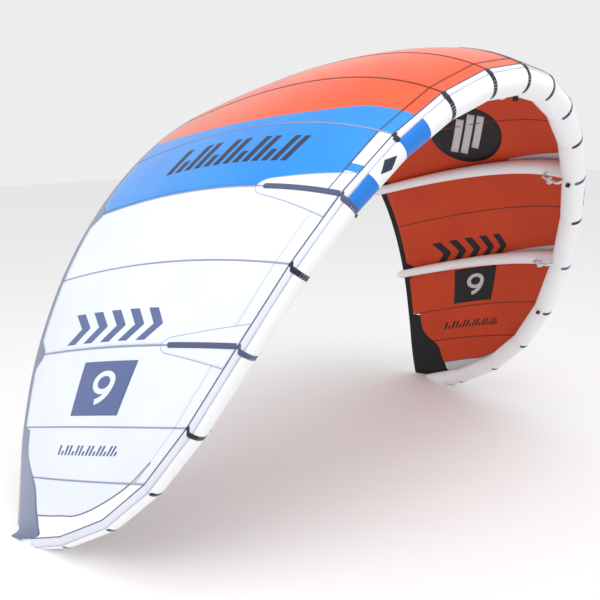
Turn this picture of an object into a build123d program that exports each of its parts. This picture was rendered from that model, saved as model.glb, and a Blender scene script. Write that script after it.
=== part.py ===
from build123d import *
import os
from dataclasses import dataclass
from math import cos, hypot, radians, sin, sqrt

# Inflatable water-sports kite of nine square metres: a swept, panelled inflatable
# leading edge, five inflatable struts and a canopy of sewn cloth panels.
#
# Millimetres. X runs along the span, Y from the leading edge to the trailing edge
# and Z up, away from the hollow side of the arch. The origin is the middle of the
# eye of the leash loop under the middle of the leading edge.
# "Inner" is the hollow side of the arch and "outer" is the other one.

os.makedirs("parts", exist_ok=True)

# Planform -----------------------------------------------------------------
HALF_ARC = 3132.0  # half of the leading edge, measured along the arch from the front
CENTRE_CHORD = 1777.0  # leading-edge tube centre to trailing edge, in the middle
PANEL_SHARES = (4.4, 4.7, 5.1, 5.5, 5.7, 6.5, 6.9, 5.6, 4.7, 3.9, 3.0, 0.7)
ARCH_END_ANGLE = 74.5  # how steep the arch gets, degrees
ARCH_POWER = 2.55  # how soon it gets that steep
TIP_FLARE = 19.0  # the last stretch turns out again, degrees
TIP_FLARE_POWER = 14.0
ARCH_SWEEP = 1045.0  # sweep of the leading edge along the whole arch
ARCH_SWEEP_POWER = 1.7
TIP_SWEEP = 815.0  # further sweep, nearly all of it at the tip
TIP_SWEEP_POWER = 8.5
CHORD_TAPER = 0.36  # share of the centre chord lost gently along the arch
CHORD_TAPER_POWER = 1.9
TIP_CHORD_SHARE = 0.03  # chord at the tip as a share of the centre chord
TIP_TAPER_POWER = 7.0
TOE_OUT = 27.0  # ribs fan towards the tips, degrees per unit of arch share
TOE_EASE = 12.0  # and ease off again near the tips
WASH_OUT = 4.2  # largest turn of a rib off the arch, degrees
WASH_SPREAD = 150.0

# Section --------------------------------------------------------------------
CENTRE_RADIUS = 68.0  # leading-edge tube, outside
OUTER_RADIUS = 56.0
RADIUS_POWER = 1.5
TIP_RADIUS = 25.0
TANGENT_ANGLE = 118.0  # where the cloth leaves the tube, up from the chord, degrees
FRONT_HANDLE = 0.20  # cloth curve handles, as shares of the chord
BACK_HANDLE_ALONG = 0.45
BACK_HANDLE_HEIGHT = 0.13

# Walls and gaps -------------------------------------------------------------
SKIN = 2.5  # cloth thickness of the solids
SKIN_GAP = 1.2  # cloth to the tube that it leaves
TIP_CLOTH_GAP = 7.0  # more of it at the tip, where the cloth lies over the tube
CASING = 2.5  # tube casing wall
BLADDER = 2.0  # bladder wall
BLADDER_GAP = 1.0  # bladder to casing
STRUT_GAP = 1.6  # strut to canopy and to the leading edge
TRIM = 2.0  # thickness of bands and strips
TRIM_GAP = 0.6  # under a band or strip

# Cloth layout ---------------------------------------------------------------
STRIP_WIDTH = 72.0  # closure strip behind the tube
TIP_PANEL_WIDTHS = {9: 112.0, 10: 165.0}  # it widens from joint 8 to the tip
TIP_PANEL_END_SHARE = 0.55  # its share of the last rib's curve
HEM_WIDTH = 48.0  # trailing-edge band
CANOPY_BAYS = ((0, 2), (2, 4), (4, 6), (6, 8), (8, 11))
STRIP_END = 8  # joint where the strip becomes the tip panel
LAST_RIB = 11  # the last joint with cloth behind it; the tip patch ends at 12
TIP = 12

# Leading-edge trim ----------------------------------------------------------
BAND_WIDTH = 24.0
BAND_START = 124.0  # degrees around the tube, from the back over the outer side
BAND_END = 238.0
LOAD_STRIP_WIDTH = 24.0
LOAD_STRIP_LENGTH = 360.0
LOAD_STRIP_START = 4.0
LOAD_STRIP_STEPS = 8
LOAD_STRIP_GAP = 1.2

# Struts ---------------------------------------------------------------------
STRUT_JOINTS = (0, 4, 6)
STRUT_FRONT_RADIUS = 50.0
STRUT_REAR_RADIUS = 30.0
STRUT_NOSE_LENGTH = 42.0  # rounded end past the trailing edge
STRUT_START = 0.03  # share of the rib's curve where the strut begins
STRUT_END = 0.985  # and where its bladder and its straight part end
STRUT_STEPS = 9

NOSE_DOME = ((0.0, 1.0), (0.45, 0.86), (0.8, 0.55), (1.0, 0.16))  # reach, radius

# One-pump hoses and clips ---------------------------------------------------
HOSE_RADIUS = 8.0
HOSE_WALL = 1.5
HOSE_STAND_OFF = 38.0
HOSE_END_DEPTH = 1.4  # how far its ends go into the casings
HOSE_TUBE_ANGLE = -52.0  # where the hose leaves the leading edge
HOSE_STRUT_DISTANCE = 215.0  # from the tube centre, along the chord
PORT_GAP = 1.0
CLIP_HALF_HEIGHT = 12.0
CLIP_HALF_WIDTH = 20.0
CLIP_HALF_LENGTH = 11.0
CLIP_EAR = 2.8
CLIP_HINGE_Y = -16.0
CLIP_HINGE_HEIGHT = 16.0
KNUCKLE_RADIUS = 3.3
PIN_RADIUS = 1.5
PIN_CLEARANCE = 0.05
LEVER_THICKNESS = 3.6
SIDE_CLEARANCE = 0.4

# Inflation valve ------------------------------------------------------------
NECK_RADIUS = 15.0
NECK_BORE = 12.0
NECK_HEIGHT = 9.0
NECK_DEPTH = 14.0
COLLAR_RADIUS = 21.0
COLLAR_THICKNESS = 3.0
COLLAR_LIFT = 1.0
FLANGE_RADIUS = 26.0
FLANGE_THICKNESS = 2.0
SEAT_DEPTH = 7.0
SEAT_THICKNESS = 2.0
SEAT_OPENING = 8.5
DISC_RADIUS = 10.5
DISC_THICKNESS = 1.5
DISC_GAP = 0.3
STEM_RADIUS = 1.5
STEM_HEIGHT = 5.0
CROSSBAR_WIDTH = 5.0
CAP_RADIUS = 16.5
CAP_THICKNESS = 3.0
CAP_GAP = 0.4
PLUG_RADIUS = 10.5
PLUG_DEPTH = 3.0
CAP_HINGE_Y = -20.5
CAP_PIN_RADIUS = 1.2
CAP_KNUCKLE_RADIUS = 2.9
CAP_KNUCKLE_HALF = 4.0
CAP_EAR = 2.5
VALVE_ANGLE = -40.0  # around the tube from the back, towards the inner side
VALVE_HOLE_GAP = 0.6

# Webbing loops --------------------------------------------------------------
EYE_RADIUS = 6.0
WEBBING = 3.0
LOOP_WIDTH = 20.0
LOOP_NECK = 14.0
LOOP_REACH = 16.0  # eye centre to the tube
LOOP_FOOT_GAP = 1.4  # its sewn foot to the tube
LOOP_ANGLE = -90.0  # straight under the tube, on the inner side
FRONT_LOOP_JOINTS = (4, 7)


# The arch and its ribs ------------------------------------------------------
@dataclass(frozen=True)
class Rib:
    """A joint of the leading edge and the chordwise section behind it."""

    centre: Vector
    back: Vector
    outward: Vector
    tube_axis: Vector
    chord: float
    radius: float
    over_tube: bool  # at the tip the cloth lies over the tube, not behind it

    def plane(self):
        """The plane of the section: x to the trailing edge, y outward."""
        return Plane(self.centre, x_dir=self.back, z_dir=self.back.cross(self.outward))

    def ring_plane(self, axis=None, shift=0.0):
        """A plane across the tube, with x towards the back and y outward."""
        axis = axis or self.tube_axis
        flat_back = (self.back - axis * self.back.dot(axis)).normalized()
        facing = 1 if axis.dot(self.back.cross(self.outward)) > 0 else -1
        return Plane(self.centre + axis * shift, x_dir=flat_back, z_dir=axis * facing)

    def place(self, along, height):
        """A point of the section in space."""
        return self.centre + self.back * along + self.outward * height

    def around(self, angle):
        """A unit direction in the section, up from the chord line."""
        return self.back * cos(radians(angle)) + self.outward * sin(radians(angle))

    def tube_reach(self, angle, clearance=0.0):
        """Distance from the centre to the tube's wall in that direction."""
        across = self.around(angle).dot(self.tube_axis)
        return (self.radius + clearance) / sqrt(1 - across * across)


def arch_angle(share):
    """Slope of the arch in degrees at a share of the half arc."""
    steep = ARCH_END_ANGLE * (1 - (1 - min(share, 1.0)) ** ARCH_POWER)
    return steep - TIP_FLARE * share**TIP_FLARE_POWER


def arch_point(share, steps=300):
    """Leading-edge tube centre at a share of the half arc, on the +X side."""
    across, down = 0.0, 0.0
    for step in range(steps):
        angle = radians(arch_angle(share * (step + 0.5) / steps))
        across += cos(angle) * share * HALF_ARC / steps
        down += sin(angle) * share * HALF_ARC / steps
    swept = ARCH_SWEEP * share**ARCH_SWEEP_POWER + TIP_SWEEP * share**TIP_SWEEP_POWER
    return Vector(across, swept, CENTRE_RADIUS + LOOP_REACH - down)


def chord_at(share):
    """Tube centre to trailing edge at a share of the half arc."""
    tip_loss = 1 - CHORD_TAPER - TIP_CHORD_SHARE
    gentle = CHORD_TAPER * share**CHORD_TAPER_POWER
    return CENTRE_CHORD * (1 - gentle - tip_loss * share**TIP_TAPER_POWER)


def radius_at(joint, share):
    """Outside radius of the leading-edge tube."""
    if joint == TIP:
        return TIP_RADIUS
    return OUTER_RADIUS + (CENTRE_RADIUS - OUTER_RADIUS) * (1 - share) ** RADIUS_POWER


def make_ribs(side):
    """The ribs of one half, from the middle to the tip. side is 1 or -1."""
    total = sum(PANEL_SHARES)
    shares = [sum(PANEL_SHARES[:count]) / total for count in range(TIP + 1)]
    centres = [arch_point(share) for share in shares]
    ribs = []
    for joint, share in enumerate(shares):
        angle = radians(arch_angle(share))
        tangent = Vector(cos(angle), 0, -sin(angle))
        normal = Vector(sin(angle), 0, cos(angle))
        toe = radians(TOE_OUT * share - TOE_EASE * share**4)
        wash = radians(WASH_OUT * sin(radians(WASH_SPREAD * share)) ** 2)
        back = (Vector(0, 1, 0) * cos(toe) + tangent * sin(toe)) * cos(wash) + normal * sin(wash)
        outward = (normal - back * normal.dot(back)).normalized()
        before = centres[joint] - centres[joint - 1] if joint else Vector(1, 0, 0)
        after = centres[joint + 1] - centres[joint] if joint < TIP else before
        axis = Vector(1, 0, 0) if joint == 0 else before.normalized() + after.normalized()
        mirrored = [Vector(v.X * side, v.Y, v.Z) for v in (centres[joint], back, outward, axis)]
        ribs.append(
            Rib(
                centre=mirrored[0],
                back=mirrored[1],
                outward=mirrored[2],
                tube_axis=mirrored[3].normalized(),
                chord=chord_at(share),
                radius=radius_at(joint, share),
                over_tube=joint >= LAST_RIB,
            )
        )
    return ribs


SIDES = {"right": make_ribs(1), "left": make_ribs(-1)}


# Cloth curves ---------------------------------------------------------------
def skin_curve(rib):
    """Handles of the canopy's outer curve in the rib's plane, front to back."""
    clearance = SKIN_GAP + SKIN + (TIP_CLOTH_GAP if rib.over_tube else 0.0)
    reach = rib.tube_reach(TANGENT_ANGLE, clearance)
    direction = rib.around(TANGENT_ANGLE)
    from_axis = direction - rib.tube_axis * direction.dot(rib.tube_axis)
    run, rise = from_axis.dot(rib.outward), -from_axis.dot(rib.back)
    handle = FRONT_HANDLE * rib.chord / hypot(run, rise)
    start = (reach * cos(radians(TANGENT_ANGLE)), reach * sin(radians(TANGENT_ANGLE)))
    lift = rib.radius + clearance if rib.over_tube else 0.0
    return [
        start,
        (start[0] + run * handle, start[1] + rise * handle),
        (BACK_HANDLE_ALONG * rib.chord, BACK_HANDLE_HEIGHT * rib.chord + lift),
        (rib.chord, lift),
    ]


def blossom(handles, *shares):
    """A point of a cubic, or with unequal shares a handle of part of it."""
    for share in shares:
        handles = [
            (a[0] + (b[0] - a[0]) * share, a[1] + (b[1] - a[1]) * share)
            for a, b in zip(handles, handles[1:])
        ]
    return handles[0]


def trimmed(handles, start, end):
    """Handles of the part of a cubic between two shares."""
    corners = ((start,) * 3, (start, start, end), (start, end, end), (end,) * 3)
    return [blossom(handles, *corner) for corner in corners]


def outward_normal(handles, share):
    """Unit normal of a cubic in the rib's plane, on its outer side."""
    a = blossom(handles[:3], share, share)
    b = blossom(handles[1:], share, share)
    run, rise = b[0] - a[0], b[1] - a[1]
    length = hypot(run, rise)
    return -rise / length, run / length


def share_at(handles, distance, steps=400):
    """Share of a cubic at a distance from its front, or from its back if below 0."""
    shares = [step / steps for step in range(steps + 1)]
    if distance < 0:
        shares.reverse()
    walked, previous = 0.0, blossom(handles, *(shares[0],) * 3)
    for share in shares[1:]:
        point = blossom(handles, *(share,) * 3)
        walked += hypot(point[0] - previous[0], point[1] - previous[1])
        previous = point
        if walked >= abs(distance):
            return share
    return shares[-1]


def strip_share(ribs, joint):
    """Share of the rib's curve where the closure strip or tip panel ends."""
    if joint >= LAST_RIB:
        return TIP_PANEL_END_SHARE
    return share_at(skin_curve(ribs[joint]), TIP_PANEL_WIDTHS.get(joint, STRIP_WIDTH))


def hem_share(ribs, joint):
    """Share of the rib's curve where the trailing-edge band begins."""
    return share_at(skin_curve(ribs[joint]), -HEM_WIDTH)


def cloth(ribs, first, last, start, end):
    """Closed thin solid of cloth over some ribs, between two shares of each curve."""
    with BuildPart() as panel:
        for joint in range(first, last + 1):
            outer = trimmed(skin_curve(ribs[joint]), start(joint), end(joint))
            inner = [(x, y - SKIN) for x, y in reversed(outer)]
            with BuildSketch(ribs[joint].plane()):
                with BuildLine():
                    Bezier(*outer)
                    Line(outer[-1], inner[0])
                    Bezier(*inner)
                    Line(inner[-1], outer[0])
                make_face()
        loft(ruled=True)
    return panel.part


def skin_point(rib, share):
    """A point on the outer side of the cloth."""
    return rib.place(*blossom(skin_curve(rib), share, share, share))


def neighbours(side, joint):
    """The ribs on both sides of one."""
    ribs = SIDES[side]
    if joint == 0:
        return SIDES["left"][1], SIDES["right"][1]
    return ribs[joint - 1], ribs[joint + 1]


def skin_frame(side, joint, share):
    """Plane across a rib's cloth: origin on its outer side, y outward, z to the back."""
    rib = SIDES[side][joint]
    before, after = neighbours(side, joint)
    normal = outward_normal(skin_curve(rib), share)
    tangent = rib.back * normal[1] - rib.outward * normal[0]
    across = skin_point(after, share) - skin_point(before, share)
    outward = across.cross(tangent).normalized()
    if outward.dot(rib.outward) < 0:
        outward = outward * -1
    return Plane(skin_point(rib, share), x_dir=outward.cross(tangent), z_dir=tangent)


def save(part, name):
    """Label a finished piece and write its file."""
    part.label = name
    export_step(part, f"parts/{name}.step")


def build_cloth():
    """Canopy panels, closure strips, tip panels, tip patches and trailing-edge bands."""
    for side, ribs in SIDES.items():
        for number, (first, last) in enumerate(CANOPY_BAYS, start=1):
            panel = cloth(
                ribs, first, last, lambda j: strip_share(ribs, j), lambda j: hem_share(ribs, j)
            )
            save(panel, f"canopy_{side}_{number}")
        strip = cloth(ribs, 0, STRIP_END, lambda j: 0.0, lambda j: strip_share(ribs, j))
        save(strip, f"closure_strip_{side}")
        tip_panel = cloth(
            ribs, STRIP_END, LAST_RIB, lambda j: 0.0, lambda j: strip_share(ribs, j)
        )
        save(tip_panel, f"tip_panel_{side}")
        save(cloth(ribs, LAST_RIB, TIP, lambda j: 0.0, lambda j: 1.0), f"tip_patch_{side}")
        hem = cloth(ribs, 0, LAST_RIB, lambda j: hem_share(ribs, j), lambda j: 1.0)
        save(hem, f"trailing_edge_band_{side}")


# Struts ---------------------------------------------------------------------
def disc(plane, radius):
    """A round section on a plane."""
    with BuildSketch(plane) as section:
        Circle(radius)
    return section.sketch


@dataclass(frozen=True)
class StrutRing:
    """One cross-section of a strut."""

    plane: Plane
    radius: float


def strut_radius(share):
    """Outside radius of a strut along its rib's curve."""
    return STRUT_FRONT_RADIUS + (STRUT_REAR_RADIUS - STRUT_FRONT_RADIUS) * share


def strut_ring(side, joint, share, inset=0.0, past=0.0, shrink=1.0):
    """Cross-section under the canopy, inset from the strut's outside."""
    frame = skin_frame(side, joint, share)
    depth = SKIN + STRUT_GAP + strut_radius(share)
    centre = frame.origin - frame.y_dir * depth + frame.z_dir * past
    plane = Plane(centre, x_dir=frame.x_dir, z_dir=frame.z_dir)
    return StrutRing(plane, (strut_radius(share) - inset) * shrink)


def strut_shares():
    """Where the cross-sections of a strut stand along its rib's curve."""
    reach = STRUT_END - STRUT_START
    return [STRUT_START + reach * step / STRUT_STEPS for step in range(STRUT_STEPS + 1)]


def casing_rings(side, joint, inset=0.0):
    """Cross-sections of a strut's casing, with its rounded end."""
    rings = [strut_ring(side, joint, share, inset) for share in strut_shares()]
    reach = STRUT_NOSE_LENGTH - inset
    for past, shrink in NOSE_DOME:
        rings.append(strut_ring(side, joint, 1.0, inset, past * reach, shrink))
    return rings


def bladder_rings(side, joint, inset, wall=0.0):
    """Cross-sections of a strut's bladder. Its ends stand in by the wall."""
    shares = strut_shares()[1:]
    rings = [strut_ring(side, joint, shares[0], inset, past=wall)]
    rings += [strut_ring(side, joint, share, inset) for share in shares[1:-1]]
    return rings + [strut_ring(side, joint, shares[-1], inset, past=-wall)]


def loft_rings(rings, mode=Mode.ADD):
    """Loft straight-sided panels through circles inside the open part."""
    loft([disc(ring.plane, ring.radius) for ring in rings], ruled=True, mode=mode)


def strut_hub(side, joint):
    """Point under the strut's skin where its hose enters, and the way out of it."""
    share = share_at(skin_curve(SIDES[side][joint]), HOSE_STRUT_DISTANCE)
    ring = strut_ring(side, joint, share)
    way_out = ring.plane.y_dir * -1
    return ring.plane.origin + way_out * ring.radius, way_out


def tube_hub(side, joint):
    """Point on the leading edge where the strut's hose leaves, and the way out."""
    rib = SIDES[side][joint]
    way_out = rib.around(HOSE_TUBE_ANGLE)
    way_out = (way_out - rib.tube_axis * way_out.dot(rib.tube_axis)).normalized()
    return rib.centre + way_out * rib.radius, way_out


def port_plane(point, way_out, depth):
    """Plane below a hose's port, facing out of it."""
    return Plane(point - way_out * depth, z_dir=way_out)


def cut_port(point, way_out, radius):
    """Cut a hose's hole in the open part."""
    reach = CASING + BLADDER_GAP + BLADDER + HOSE_RADIUS
    section = disc(port_plane(point, way_out, reach), radius)
    extrude(section, amount=2 * reach, mode=Mode.SUBTRACT)


def cut_leading_edge(side, joint, clearance):
    """Cut the leading-edge tube around a joint out of the open part."""
    rib = SIDES[side][joint]
    before, after = neighbours(side, joint)
    back_way = -1 if joint == 0 else 1
    sections = [
        disc(before.ring_plane(before.tube_axis * back_way), before.radius + clearance),
        disc(rib.ring_plane(), rib.radius + clearance),
        disc(after.ring_plane(), after.radius + clearance),
    ]
    loft(sections, ruled=True, mode=Mode.SUBTRACT)


def strut_places():
    """Name, side and joint of each strut."""
    places = [("centre", "right", 0)]
    for side in SIDES:
        places += [(f"{side}_inner", side, STRUT_JOINTS[1]), (f"{side}_outer", side, STRUT_JOINTS[2])]
    return places


def build_strut(name, side, joint):
    """A strut's casing and the bladder in it."""
    hub = strut_hub(side, joint)
    with BuildPart() as casing:
        loft_rings(casing_rings(side, joint))
        loft_rings(casing_rings(side, joint, CASING), Mode.SUBTRACT)
        cut_leading_edge(side, joint, STRUT_GAP)
        cut_port(*hub, HOSE_RADIUS + PORT_GAP)
    save(casing.part, f"strut_casing_{name}")

    outside = CASING + BLADDER_GAP
    with BuildPart() as bladder:
        loft_rings(bladder_rings(side, joint, outside))
        loft_rings(bladder_rings(side, joint, outside + BLADDER, BLADDER), Mode.SUBTRACT)
        cut_port(*hub, HOSE_RADIUS - HOSE_WALL)
    save(bladder.part, f"strut_bladder_{name}")


# Leading edge ---------------------------------------------------------------
CASING_GROUPS = {"inner": (0, 4), "middle": (4, 8), "tip": (8, 12)}


def valve_plane():
    """Plane of the inflation valve: origin on the tube, z out of it."""
    here, beyond = SIDES["right"][0], SIDES["right"][1]
    centre = (here.centre + beyond.centre) * 0.5
    axis = (beyond.centre - here.centre).normalized()
    way_out = here.around(VALVE_ANGLE)
    way_out = (way_out - axis * way_out.dot(axis)).normalized()
    radius = (here.radius + beyond.radius) / 2
    return Plane(centre + way_out * radius, x_dir=axis, z_dir=way_out)


def cut_valve_hole(clearance):
    """Cut the valve's hole in the open part."""
    reach = NECK_DEPTH + NECK_HEIGHT
    section = disc(valve_plane().offset(-reach), NECK_RADIUS + clearance)
    extrude(section, amount=2 * reach, mode=Mode.SUBTRACT)


def build_casings():
    """The leading edge's casing, in straight panels between mitred joints."""
    for side, ribs in SIDES.items():
        for group, (first, last) in CASING_GROUPS.items():
            with BuildPart() as casing:
                for rib in ribs[first : last + 1]:
                    with BuildSketch(rib.ring_plane()):
                        Circle(rib.radius)
                        Circle(rib.radius - CASING, mode=Mode.SUBTRACT)
                loft(ruled=True)
                if last == TIP:
                    tip = ribs[TIP]
                    for reach, share in NOSE_DOME:
                        with BuildSketch(tip.ring_plane(shift=reach * tip.radius)):
                            Circle(tip.radius * share)
                    loft(ruled=True)
                for joint in STRUT_JOINTS:
                    if first <= joint <= last:
                        cut_port(*tube_hub(side, joint), HOSE_RADIUS + PORT_GAP)
                if side == "right" and first == 0:
                    cut_valve_hole(VALVE_HOLE_GAP)
            save(casing.part, f"leading_edge_casing_{side}_{group}")


def build_bladder():
    """The leading edge's bladder, closed at both tips."""
    outside = CASING + BLADDER_GAP
    left, right = SIDES["left"], SIDES["right"]
    ribs = left[:0:-1] + right
    with BuildPart() as bladder:
        for inset, end in ((outside, outside), (outside + BLADDER, outside + BLADDER)):
            for rib in ribs:
                axis = rib.tube_axis if rib.tube_axis.X > 0 else rib.tube_axis * -1
                shift = 0.0
                if rib is left[TIP]:
                    shift = end
                if rib is right[TIP]:
                    shift = -end
                with BuildSketch(rib.ring_plane(axis, shift)):
                    Circle(rib.radius - inset)
            loft(ruled=True, mode=Mode.ADD if inset == outside else Mode.SUBTRACT)
        for _, side, joint in strut_places():
            cut_port(*tube_hub(side, joint), HOSE_RADIUS - HOSE_WALL)
        cut_valve_hole(VALVE_HOLE_GAP)
    save(bladder.part, "leading_edge_bladder")


def band_ring(rib, axis, shift):
    """One C-shaped cross-section of a joint band."""
    inner = rib.radius + TRIM_GAP
    outer = inner + TRIM
    sweep = BAND_END - BAND_START
    with BuildSketch(rib.ring_plane(axis, shift)) as ring:
        with BuildLine():
            outside = CenterArc((0, 0), outer, BAND_START, sweep)
            inside = CenterArc((0, 0), inner, BAND_START, sweep)
            Line(outside @ 0, inside @ 0)
            Line(outside @ 1, inside @ 1)
        make_face()
    return ring.sketch


def band_rings(rib, before, after):
    """The three cross-sections of a band: its two edges and the mitre between them."""
    return [
        band_ring(rib, before, -BAND_WIDTH / 2),
        band_ring(rib, rib.tube_axis, 0.0),
        band_ring(rib, after, BAND_WIDTH / 2),
    ]


def build_joint_bands():
    """Bands over the joints of the leading edge, around its front."""
    for side, ribs in SIDES.items():
        with BuildPart() as bands:
            for joint in range(1, LAST_RIB + 1):
                rib = ribs[joint]
                before = (rib.centre - ribs[joint - 1].centre).normalized()
                after = (ribs[joint + 1].centre - rib.centre).normalized()
                loft(band_rings(rib, before, after), ruled=True)
        save(bands.part, f"joint_bands_{side}")
    rib = SIDES["right"][0]
    before = (rib.centre - SIDES["left"][1].centre).normalized()
    after = (SIDES["right"][1].centre - rib.centre).normalized()
    with BuildPart() as band:
        loft(band_rings(rib, before, after), ruled=True)
    save(band.part, "joint_band_centre")


def build_load_strips():
    """Webbing strips on the outer side of the canopy, in line with the struts."""
    with BuildPart() as strips:
        for _, side, joint in strut_places():
            handles = skin_curve(SIDES[side][joint])
            for step in range(LOAD_STRIP_STEPS + 1):
                distance = LOAD_STRIP_START + LOAD_STRIP_LENGTH * step / LOAD_STRIP_STEPS
                frame = skin_frame(side, joint, share_at(handles, distance))
                origin = frame.origin + frame.y_dir * (LOAD_STRIP_GAP + TRIM / 2)
                with BuildSketch(Plane(origin, x_dir=frame.x_dir, z_dir=frame.z_dir)):
                    Rectangle(LOAD_STRIP_WIDTH, TRIM)
            loft(ruled=True)
    save(strips.part, "load_strips")


# Hoses, clips, valve and loops ----------------------------------------------
def hose_corners(side, joint):
    """Corners of a hose's route from the leading edge to the strut."""
    tube_point, tube_out = tube_hub(side, joint)
    strut_point, strut_out = strut_hub(side, joint)
    return [
        tube_point - tube_out * HOSE_END_DEPTH,
        tube_point + tube_out * HOSE_STAND_OFF,
        strut_point + strut_out * HOSE_STAND_OFF,
        strut_point - strut_out * HOSE_END_DEPTH,
    ]


def build_hose(name, side, joint):
    """A hose between the leading edge's bladder and a strut's bladder."""
    corners = hose_corners(side, joint)
    with BuildPart() as hose:
        with BuildLine() as route:
            FilletPolyline(*corners, radius=HOSE_STAND_OFF * 0.55)
        with BuildSketch(Plane(route.line @ 0, z_dir=route.line % 0)):
            Circle(HOSE_RADIUS)
            Circle(HOSE_RADIUS - HOSE_WALL, mode=Mode.SUBTRACT)
        sweep(path=route.line)
    save(hose.part, f"hose_{name}")


def clip_plane(side, joint):
    """Plane of a hose clip: z along the hose, x away from the kite."""
    corners = hose_corners(side, joint)
    run = (corners[2] - corners[1]).normalized()
    away = (corners[1] - corners[0]).normalized() + (corners[2] - corners[3]).normalized()
    away = (away - run * away.dot(run)).normalized()
    return Plane((corners[1] + corners[2]) * 0.5, x_dir=away, z_dir=run)


def build_clips():
    """The bodies of the hose clips, and the lever of each."""
    planes = {name: clip_plane(side, joint) for name, side, joint in strut_places()}
    lever_half = CLIP_HALF_LENGTH - CLIP_EAR - SIDE_CLEARANCE
    ear_offset = CLIP_HALF_LENGTH - CLIP_EAR / 2
    ear_height = CLIP_HINGE_HEIGHT - CLIP_HALF_HEIGHT
    with BuildPart(*planes.values()) as bodies:
        Box(2 * CLIP_HALF_HEIGHT, 2 * CLIP_HALF_WIDTH, 2 * CLIP_HALF_LENGTH)
        with Locations(
            (CLIP_HALF_HEIGHT + ear_height / 2, CLIP_HINGE_Y, ear_offset),
            (CLIP_HALF_HEIGHT + ear_height / 2, CLIP_HINGE_Y, -ear_offset),
        ):
            Box(ear_height, 2 * KNUCKLE_RADIUS, CLIP_EAR)
        with Locations(
            (CLIP_HINGE_HEIGHT, CLIP_HINGE_Y, ear_offset),
            (CLIP_HINGE_HEIGHT, CLIP_HINGE_Y, -ear_offset),
        ):
            Cylinder(KNUCKLE_RADIUS, CLIP_EAR)
        with Locations((CLIP_HINGE_HEIGHT, CLIP_HINGE_Y, 0)):
            Cylinder(PIN_RADIUS, 2 * CLIP_HALF_LENGTH)
        Cylinder(HOSE_RADIUS + SIDE_CLEARANCE, 3 * CLIP_HALF_LENGTH, mode=Mode.SUBTRACT)
    save(bodies.part, "hose_clip_bodies")

    lever_length = CLIP_HALF_WIDTH - CLIP_HINGE_Y
    for name, plane in planes.items():
        with BuildPart(plane) as lever:
            with Locations((CLIP_HINGE_HEIGHT, CLIP_HINGE_Y + lever_length / 2, 0)):
                Box(LEVER_THICKNESS, lever_length, 2 * lever_half)
            with Locations((CLIP_HINGE_HEIGHT, CLIP_HINGE_Y, 0)):
                Cylinder(KNUCKLE_RADIUS, 2 * lever_half)
                Cylinder(PIN_RADIUS + PIN_CLEARANCE, 3 * lever_half, mode=Mode.SUBTRACT)
        save(lever.part, f"hose_clip_lever_{name}")


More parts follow.
